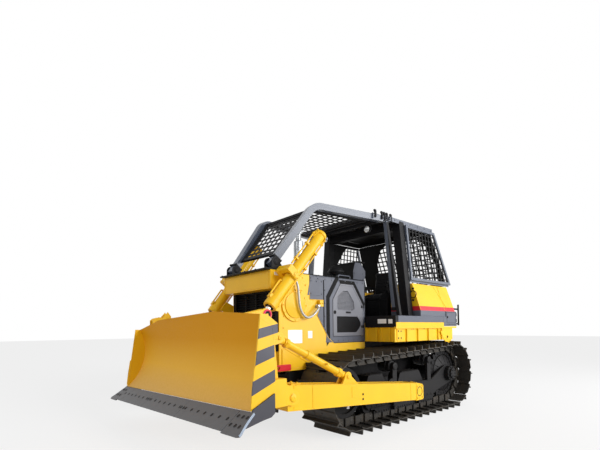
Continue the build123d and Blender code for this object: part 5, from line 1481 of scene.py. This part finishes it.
# the face round the two windows, in a front and a rear part above and below the middle
for outline in (
    (
        (336, 1700), (50, 1700), (50, 1752), UPPER[7], *UPPER[:3], (50, 2060), (50, 2150), (172, 2150),
        (336, 1908),
    ),
    ((50, 2150), (50, 2060), *UPPER[3:7], (50, 1752), (50, 1700), (-356, 1700), (-356, 1836), (-122, 2150)),
    ((30, 1700), (336, 1700), (336, 1360), (30, 1360), (30, 1398), *LOWER[:2], (30, 1652)),
    ((30, 1700), (30, 1652), *LOWER[2:], (30, 1398), (30, 1360), (-356, 1360), (-356, 1700)),
):
    skin.slab(outline, (576, DOOR_FACE))
for (side, _), form in zip(SIDES, (skin, skin.mirrored())):
    body = f"engine_door_{side}"
    piece(f"door_skin_{side}", form, "door", body, bevel=2, replaces=(body,))
side_pieces("door_perforation", perforated(UPPER, 579, 24, 8.4), "door", "engine_door_*")
slats = Shape()
for z in range(1400, 1656, 17):
    slats.block((-318, 322), (570, 578), (z, z + 9))
slats.slab(((340, 1360), (340, 1908), (170, 2156), (-118, 2156), (-362, 1832), (-362, 1360)), (563.5, 567))
side_pieces("door_backing", slats, "coal", "engine_door_*")
parts = Shape()
parts.lathe((318, DOOR_FACE, 1716), LEFT, ((30, 0), (30, 5), (25, 8), (19, 8), (17, 3)))
parts.block((300, 336), (DOOR_FACE + 3, DOOR_FACE + 9), (1710, 1722))
for z in (1420, 1750):
    parts.tube((-378, 590, z - 4), (-378, 590, z + 95), 7, 14)
    parts.block((-372, -318), (DOOR_FACE - 1, DOOR_FACE + 4), (z + 46, z + 90))
    parts.bolt_grid(-334, DOOR_FACE + 4, (z + 56, z + 80), LEFT, 6)
parts.block((-60, 60), (DOOR_FACE, DOOR_FACE + 3), (1704, 1732))
side_pieces("door_fittings", parts, "coal", "engine_door_*", 1)

# painted shadow of the recess round the door: a broad black band ahead of the door and over it, another
# behind its rear chamfer; and a thin seal all round
shadow_bands_and_seal = Shape()
proud = (PANEL_Y, PANEL_Y + 3)
wide_in, wide_out, near_in, near_out = outset(72), outset(146), outset(4), outset(60)
shadow_bands_and_seal.slab(wide_in[:3] + wide_out[:3][::-1], proud)
shadow_bands_and_seal.slab(near_in[2:4] + near_out[2:4][::-1], proud)
shadow_bands_and_seal.slab(near_in[3:5] + near_out[3:5][::-1], proud)
shadow_bands_and_seal.block((-408, 1030), proud, (2257, 2268))
piece("door_shadow_bands_and_seal", shadow_bands_and_seal.paired(), "rubber")
# bolted cover plates ahead of the door, with folded edges
COVER_Y = PANEL_Y + 4
panels = Shape()
panels.slab(((891, 1957), (840, 2197), (574, 2197), (574, 1957)), (PANEL_Y, COVER_Y))
panels.bolt_grid((600, 820), COVER_Y, (1985, 2172), LEFT, 8)
panels.bolt((710, COVER_Y, 2172), LEFT, 8)
foot = ((520, 1250), (400, 1250), (-400, 1250), (-400, 1300), (440, 1300), (500, 1400))
panels.slab(foot, (PANEL_Y, COVER_Y))
panels.bolt_grid(range(-360, 400, 120), COVER_Y, 1275, LEFT, 8)
panels.bolt_grid(range(-380, 821, 150), PANEL_Y, 2215, LEFT, 9)
panels.bolt_grid(530, PANEL_Y + 1, (1450, 1650, 1850, 2050), LEFT, 8)
# grab bar on the hood's edge
bar = ((200, 2270), (200, 2300), (180, 2312), (-60, 2312), (-80, 2300), (-80, 2270))
panels.pipe([(x, 556, z) for x, z in bar], 9)
piece("panel_covers", panels.paired(), "slate", bevel=1.2)
strip = ((548, 1480), (562, 1480), (562, 1890), (562, 2200), (548, 2200))
piece("panel_strips", Shape().slab(strip, (PANEL_Y, PANEL_Y + 7)).paired(), "coal", bevel=1.2)

# blank plates where the labels go
labels = Shape()
for x, y, z in (
    ((1002, 1268), (580, 581.5), (1257, 1447)),
    ((801, 889), (580, 581.5), (1323, 1430)),
    ((1430, 1520), (602, 603), (2196, 2240)),
    ((-412, -410.5), (852, 1019), (1535, 1607)),
    ((-412, -410.5), (1056, 1136), (1533, 1603)),
    ((590, 640), (1085, 1096), (340, 392)),
):
    labels.block(x, y, z)
piece("blank_plates", labels.paired(), "label", bevel=0.6)
piece("side_tags", Shape().block((912, 976), (580, 582), (1262, 1440)).paired(), "yellow", bevel=0.6)

# ---- fenders, tanks and boxes --------------------------------------------------------------------
TANK_MIDDLE = (-1700, 820)
trim, dark = Shape(), Shape()
trim.block((-2361, -404), (1168, 1206), (1449, 1480))
# gussets on the fender's side and front, welded between ribs
for x in (-1740, -1410, -1080, -750):
    for edge_x in (x + 27, x - 2):
        trim.weld((edge_x, 1170, 1245), (edge_x, 1170, 1468), 4)
    trim.slab(((1170, 1250), (1192, 1262), (1192, 1300), (1170, 1330)), (x - 3, x + 28), "x")
for span in ((590, 612), (800, 838), (1061, 1079)):
    trim.block((-422, -408), span, (1243, 1470))
trim.block((-610, -470), (1169, 1180), (1262, 1450))
for x in (-505, -575):
    for z in (1300, 1410):
        dark.lathe((x, 1180, z), LEFT, ((15, -1), (15, 0.8)), 18)
for x in (-1250, -1290, -900, -940):
    dark.lathe((x, 1170, 1440), LEFT, ((9, -1), (9, 0.8)), 14)
# tail plate: its doubler with a curved front edge, a boss, and the dark gap ahead of it
doubler = (
    (-2183, 1397), (-2183, 1250), (-2150, 1205), (-2100, 1182), (-2040, 1179), (-1960, 1200), (-1880, 1262),
    (-1820, 1340), (-1790, 1397),
)
trim.slab(doubler, (1180, 1197))
trim.lathe((-2027, 1196, 1289), LEFT, ((44, -1), (44, 3), (38, 3.8), (26, 3.8), (24, 1)), 32)
dark.block((-1776, -1738), (1171, 1176), (1397, 1470))
trim.weld((-1905, 1196, 1474), (-430, 1196, 1474), 4)
# tank: end seams, a slanted seam, the filler and the ring on its front
for x in (-1152, -1985):
    trim.pipe([(x + 4, 1187, 1770), (x + 4, 1033, 2228)], 4, 8)
trim.pipe([(-2056, 1173, 1821), (-1831, 1036, 2218)], 3.5, 6)
dark.lathe((*TANK_MIDDLE, 2230), UP, ((62, -2), (62, 8), (70, 8), (70, 34), (62, 42), (20, 44)), 36)
for i in range(18):
    t = 2 * math.pi * i / 18
    x, y = TANK_MIDDLE[0] + 70 * math.cos(t), TANK_MIDDLE[1] + 70 * math.sin(t)
    dark.tube((x, y, 2240), (x, y, 2262), 4, 6)
dark.ring((-1142, 1056, 2037), AHEAD, 60, 8, 40)
for z in (1922, 2122):
    dark.block((-1150, -1140), (1034, 1074), (z, z + 30))
# rear box: door with a gasket gap, latch, hinges and vents
dark.bolt_grid(range(-2350, -2010, 48), 1200, 1508, LEFT, 6)
gasket = ((-2362, 1545), (-2362, 1740), (-2012, 1740), (-2012, 1545), (-2362, 1545))
dark.pipe([(x, 1201, z) for x, z in gasket], 3, 6)
dark.lathe((-2040, 1200, 1650), LEFT, ((20, -1), (20, 6), (14, 8)), 20)
for z in (1590, 1700):
    dark.tube((-2372, 1204, z - 30), (-2372, 1204, z + 30), 6, 12)
piece("platform_trim", trim.paired(), "yellow", bevel=0.8)
piece("platform_fittings", dark.paired(), "coal", bevel=0.8)

# fuel tank: cap, straps, rear steps
tank = Shape()
strap = (
    (-2563, 1668), (-2563, 2168), (-2505, 2232), (-2010, 2232), (-2010, 2226), (-2500, 2226), (-2557, 2166),
    (-2557, 1668),
)
for y in (-430, 430):
    tank.slab(strap, (y - 28, y + 28))
tank.bolt_grid(-2563, (-430, 430), (1700, 1740), -AHEAD, 9)
tank.lathe((-2350, 0, 2230), UP, ((74, -2), (74, 6), (82, 6), (82, 36), (74, 44), (24, 46)), 40)
for z in (1720, 1980):
    tank.pipe([(-2562, -180, z), (-2592, -180, z), (-2592, 180, z), (-2562, 180, z)], 11)
tank.lathe((-2560, -300, 1760), -AHEAD, ((24, -1), (24, 8), (16, 10)), 20)
piece("fuel_tank_fittings", tank, "coal", bevel=1)

# hull rear: transmission cover, hitch plate bolts and a strip along each side
hull = Shape().block((-2500, -1360), (420, 428.4), (1160, 1200)).paired()
hull.lathe((-2642, 0, 980), -AHEAD, ((170, -3), (170, 10), (150, 16), (60, 18)), 40)
hull.bolt_circle((-2652, 0, 980), -AHEAD, 156, 12, 13)
hull.bolt_grid(-2640, (-440, 440), (600, 720, 840, 960), -AHEAD, 14)
hull.bolt_grid(-2665, (-220, 220), (500, 780), -AHEAD, 14)
piece("hull_covers", hull, "coal", bevel=1.5)

# ---- operator's station --------------------------------------------------------------------------
rounded("coal", firewall=5)
rounded("plastic", dashboard=10, consoles=12, seat_base=10, control_levers=2)

# side covers' bolts, armrests, slides and the console tops' switches, the same on both sides
station, trims, covers = Shape(), Shape(), Shape()
cover = ((-500, 2060), (-500, 2470), (-556, 2632), (-704, 2632), (-836, 2494), (-836, 2410), (-676, 2060))
covers.slab(cover, (269, 276))
piece("dashboard_covers", covers.paired(), "slate", bevel=3)
for x, z in ((-530, 1760), (-530, 2100), (-530, 2440), (-760, 2440), (-760, 2340)):
    trims.lathe((x, 270, z), LEFT, ((15, -1), (15, 4), (11, 6)), 18)
station.slab(((-1430, 2270), (-1470, 2300), (-1840, 2320), (-1850, 2265), (-1450, 2240)), (262, 318))
station.slab(((-1800, 2270), (-1840, 2270), (-1850, 2130), (-1810, 2130)), (268, 296))
trims.block((-1820, -1400), (215, 245), (1975, 1990))
trims.block((-1680, -1400), (350, 500), (2121, 2126))
for x in range(-1460, -1626, -55):
    trims.block((x, x + 30), (385, 415), (2126, 2136))
station.paired()
trims.paired()
# the dark gauge panel on the dashboard's sloped face, hooded
slope_run = Vector((-140, 0, -150)).normalized()
face_out = Vector((-150, 0, 140)).normalized()
gauges = ((-150, 0, 46), (-30, 0, 46), (90, 0, 46), (-90, 78, 26), (0, 78, 26), (90, 78, 26), (180, 30, 22))
for across, down, radius in gauges:
    spot = Vector((-780, across, 2580)) + slope_run * down + face_out * 3
    bezel = ((radius, -3), (radius, 6), (radius - 4, 8), (radius - 7, 8), (radius - 8, 3))
    trims.lathe(spot, face_out, bezel)
    needle = face_out * 4 - slope_run * radius * 0.5 + LEFT * radius * 0.3
    trims.tube(spot + face_out * 3, spot + needle, 1.6, 6)
station.slab(((-640, 2648), (-840, 2648), (-850, 2668), (-640, 2668)), (-262, 262))
for y in range(-200, 111, 62):
    trims.block((-868, -858), (y, y + 28), (2425, 2452))
# pedals and a chequered floor mat
for y in (-150, 0, 150):
    station.slab(((-700, 1700), (-860, 1790), (-866, 1782), (-706, 1692)), (y - 45, y + 45))
    for i in range(5):
        x, z = -720 - 30 * i, 1716 + 17 * i
        station.tube((x, y - 38, z), (x, y + 38, z), 4, 6)
station.block((-1300, -860), (-520, 520), (1659, 1667))
for i in range(15):
    for k in range(18):
        x, y = -880 - 28 * i, -500 + 58 * k + (29 if i % 2 else 0)
        station.slab(((x - 8, y - 2), (x, y - 4), (x + 8, y + 2), (x, y + 4)), (1666, 1669.5), "z")
# bellows under the seat and the boots under the levers
for i in range(7):
    z, grow = 1720 + 34 * i, 16 if i % 2 else 0
    turns = [2 * math.pi * k / 24 for k in range(24)]
    fold = [(-1600 + (170 + grow) * math.cos(t), (165 + grow) * math.sin(t)) for t in turns]
    station.slab(fold, (z, z + 34), "z")
boot = ((52, 0), (50, 8), (38, 14), (40, 20), (30, 28), (31, 34), (22, 42), (22, 48), (13, 54))
for x, y in ((-1290, 420), (-1400, 380), (-1290, -420), (-1380, -470)):
    station.lathe((x, y, 2119), UP, boot)
piece("station_rubber", station, "rubber", bevel=1.5)
piece("station_trim", trims, "plastic", bevel=0.8)


def bake(thing):
    """Apply an object's modifiers to its mesh."""
    graph = bpy.context.evaluated_depsgraph_get()
    mesh = bpy.data.meshes.new_from_object(thing.evaluated_get(graph))
    thing.modifiers.clear()
    thing.data = mesh


def stuff(thing, limit):
    """Swell a closed form with cloth pressure; no point moves further than a limit in metres."""
    rest = [vert.co.copy() for vert in thing.data.vertices]
    cloth = thing.modifiers.new("Cloth", "CLOTH")
    cloth.settings.use_pressure = True
    cloth.settings.uniform_pressure_force = 4
    cloth.settings.effector_weights.gravity = 0
    for number in range(1, 21):
        bpy.context.scene.frame_set(number)
    bake(thing)
    bpy.context.scene.frame_set(1)
    for vert, start in zip(thing.data.vertices, rest):
        move = vert.co - start
        if move.length > limit:
            vert.co = start + move * (limit / move.length)


PAD_SHARE, VOXEL = 0.95, 0.006
CHANNEL_STEP, CHANNEL_HALF, EDGE_SEAM, SEAM_DEPTH = 78, 150, 158, 9


def cushion(name, node, crown, seam_axis):
    """A stuffed pad grown from a CAD block, with sewn channels spaced along one axis and edge seams."""
    low, high = (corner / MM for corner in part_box(node))
    middle = (low + high) / 2

    def shrink(bm):
        for vert in bm.verts:
            vert.co = middle * MM + (vert.co - middle * MM) * PAD_SHARE

    thing = new_object(name, node_mesh(node, name, shrink))
    remesh = thing.modifiers.new("Remesh", "REMESH")
    remesh.mode = "VOXEL"
    remesh.voxel_size = VOXEL
    bake(thing)
    stuff(thing, crown * MM)
    face_axis = 2 - seam_axis
    for vert in thing.data.vertices:
        local = vert.co / MM - middle
        if abs(local.y) < CHANNEL_HALF and local[face_axis] > 0:
            phase = local[seam_axis] / CHANNEL_STEP
            vert.co[face_axis] -= SEAM_DEPTH * MM * math.exp(-(((phase - round(phase)) * 9) ** 2))
        if local[face_axis] > 0:
            vert.co[face_axis] -= SEAM_DEPTH * MM * math.exp(-(((abs(local.y) - EDGE_SEAM) / 7) ** 2))
    for face in thing.data.polygons:
        face.use_smooth = True
    place(thing, "vinyl", "hull", (node,))


cushion("seat_pad", "seat_cushion", 24, 0)
cushion("back_pad", "seat_back", 22, 2)

# engine: a rocker cover, pipes and a fan behind the grille, seen through the doors
rounded("coal", engine_block=6)
engine = Shape()
for x in range(-200, 700, 110):
    engine.lathe((x, 339, 1500), LEFT, ((34, -2), (34, 14), (22, 18)), 16)
for x in (80, 280):
    engine.lathe((x, 339, 1250), LEFT, ((70, -2), (70, 120), (60, 140)), 24)
engine.paired()
for x in range(-220, 800, 150):
    engine.slab(((x, 1982), (x + 120, 1982), (x + 108, 2060), (x + 12, 2060)), (-120, 120))
    engine.bolt((x + 60, 0, 2060), UP, 14)
engine.pipe([(-200, 345, 1850), (600, 345, 1850), (700, 300, 1950), (545, 120, 2130), (545, 0, 2235)], 42, 16)
engine.pipe([(-200, -345, 1800), (650, -345, 1800), (760, -250, 1900), (860, -60, 1950)], 38, 16)
for i in range(8):
    t = 2 * math.pi * i / 8
    radial = Vector((0, math.cos(t), math.sin(t)))
    wide = Vector((30, -60 * math.sin(t), 60 * math.cos(t)))
    root, tip = Vector((975, 0, 1500)) + radial * 60, Vector((990, 0, 1500)) + radial * 330
    engine.prism([root - wide * 0.5, root + wide * 0.5, tip + wide, tip - wide], AHEAD * 6)
engine.lathe((960, 0, 1500), AHEAD, ((90, 0), (90, 40), (60, 60)))
piece("engine_parts", engine, "coal", bevel=1.5)

# exhaust and precleaner
stack = Shape()
muffler = (
    (84, 0), (84, 8), (60, 12), (56, 20), (56, 140), (60, 146), (74, 152), (78, 165), (78, 300), (79.5, 302),
    (79.5, 330), (78, 332), (78, 610), (74, 625), (56, 634), (46, 640), (43, 650), (43, 735),
)
stack.lathe((545, 0, 2270), UP, muffler, 40)
stack.pipe([(545, 0, 3000), (540, 0, 3025), (526, 0, 3048), (500, 0, 3068), (462, 0, 3086)], 42, 28)
stack.ring((545, 0, 2932), UP, 44, 4)
for z in (2590, 2780):
    stack.ring((545, 0, z), UP, 78, 3, 40)
    stack.block((540, 556), (-98, -76), (z - 8, z + 8))
piece("exhaust_skin", stack, "silver", replaces=("exhaust_stack",), bevel=0.5)
cleaner = Shape()
bowl = (
    (70, 0), (70, 6), (56, 10), (55, 108), (60, 110), (118, 114), (124, 124), (124, 132), (112, 136),
    (112, 140), (138, 146), (140, 172), (134, 184), (120, 196), (112, 214), (60, 220), (14, 221),
)
cleaner.lathe((-130, 200, 2270), UP, bowl, 44)
for i in range(24):
    slot = [2 * math.pi * i / 24 + turn for turn in (0, 0.12)]
    (x0, y0), (x1, y1) = [(-130 + 118 * math.cos(t), 200 + 118 * math.sin(t)) for t in slot]
    cleaner.tube((x0, y0, 2384), (x1, y1, 2408), 3.5, 6)
cleaner.lathe((-130, 200, 2491), UP, ((16, 0), (16, 6), (8, 10)), 6)
piece("precleaner_skin", cleaner, "plastic", replaces=("air_precleaner",), bevel=0.5)

# hood: side seams with their latches, and louvres
hood = Shape()
hood.pipe([(-410, 300, 2271), (845, 300, 2271)], 4, 6)
for x in (-300, 100, 700):
    hood.block((x - 30, x + 30), (288, 312), (2269, 2276))
for x in range(170, 443, 34):
    hood.slab(((x, 2269), (x + 24, 2269), (x + 20, 2280), (x + 14, 2280)), (330, 440))
hood.bolt_grid(range(-380, 840, 200), 540, 2270, UP, 9)
piece("hood_trim", hood.paired(), "slate", bevel=1)

low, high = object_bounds()
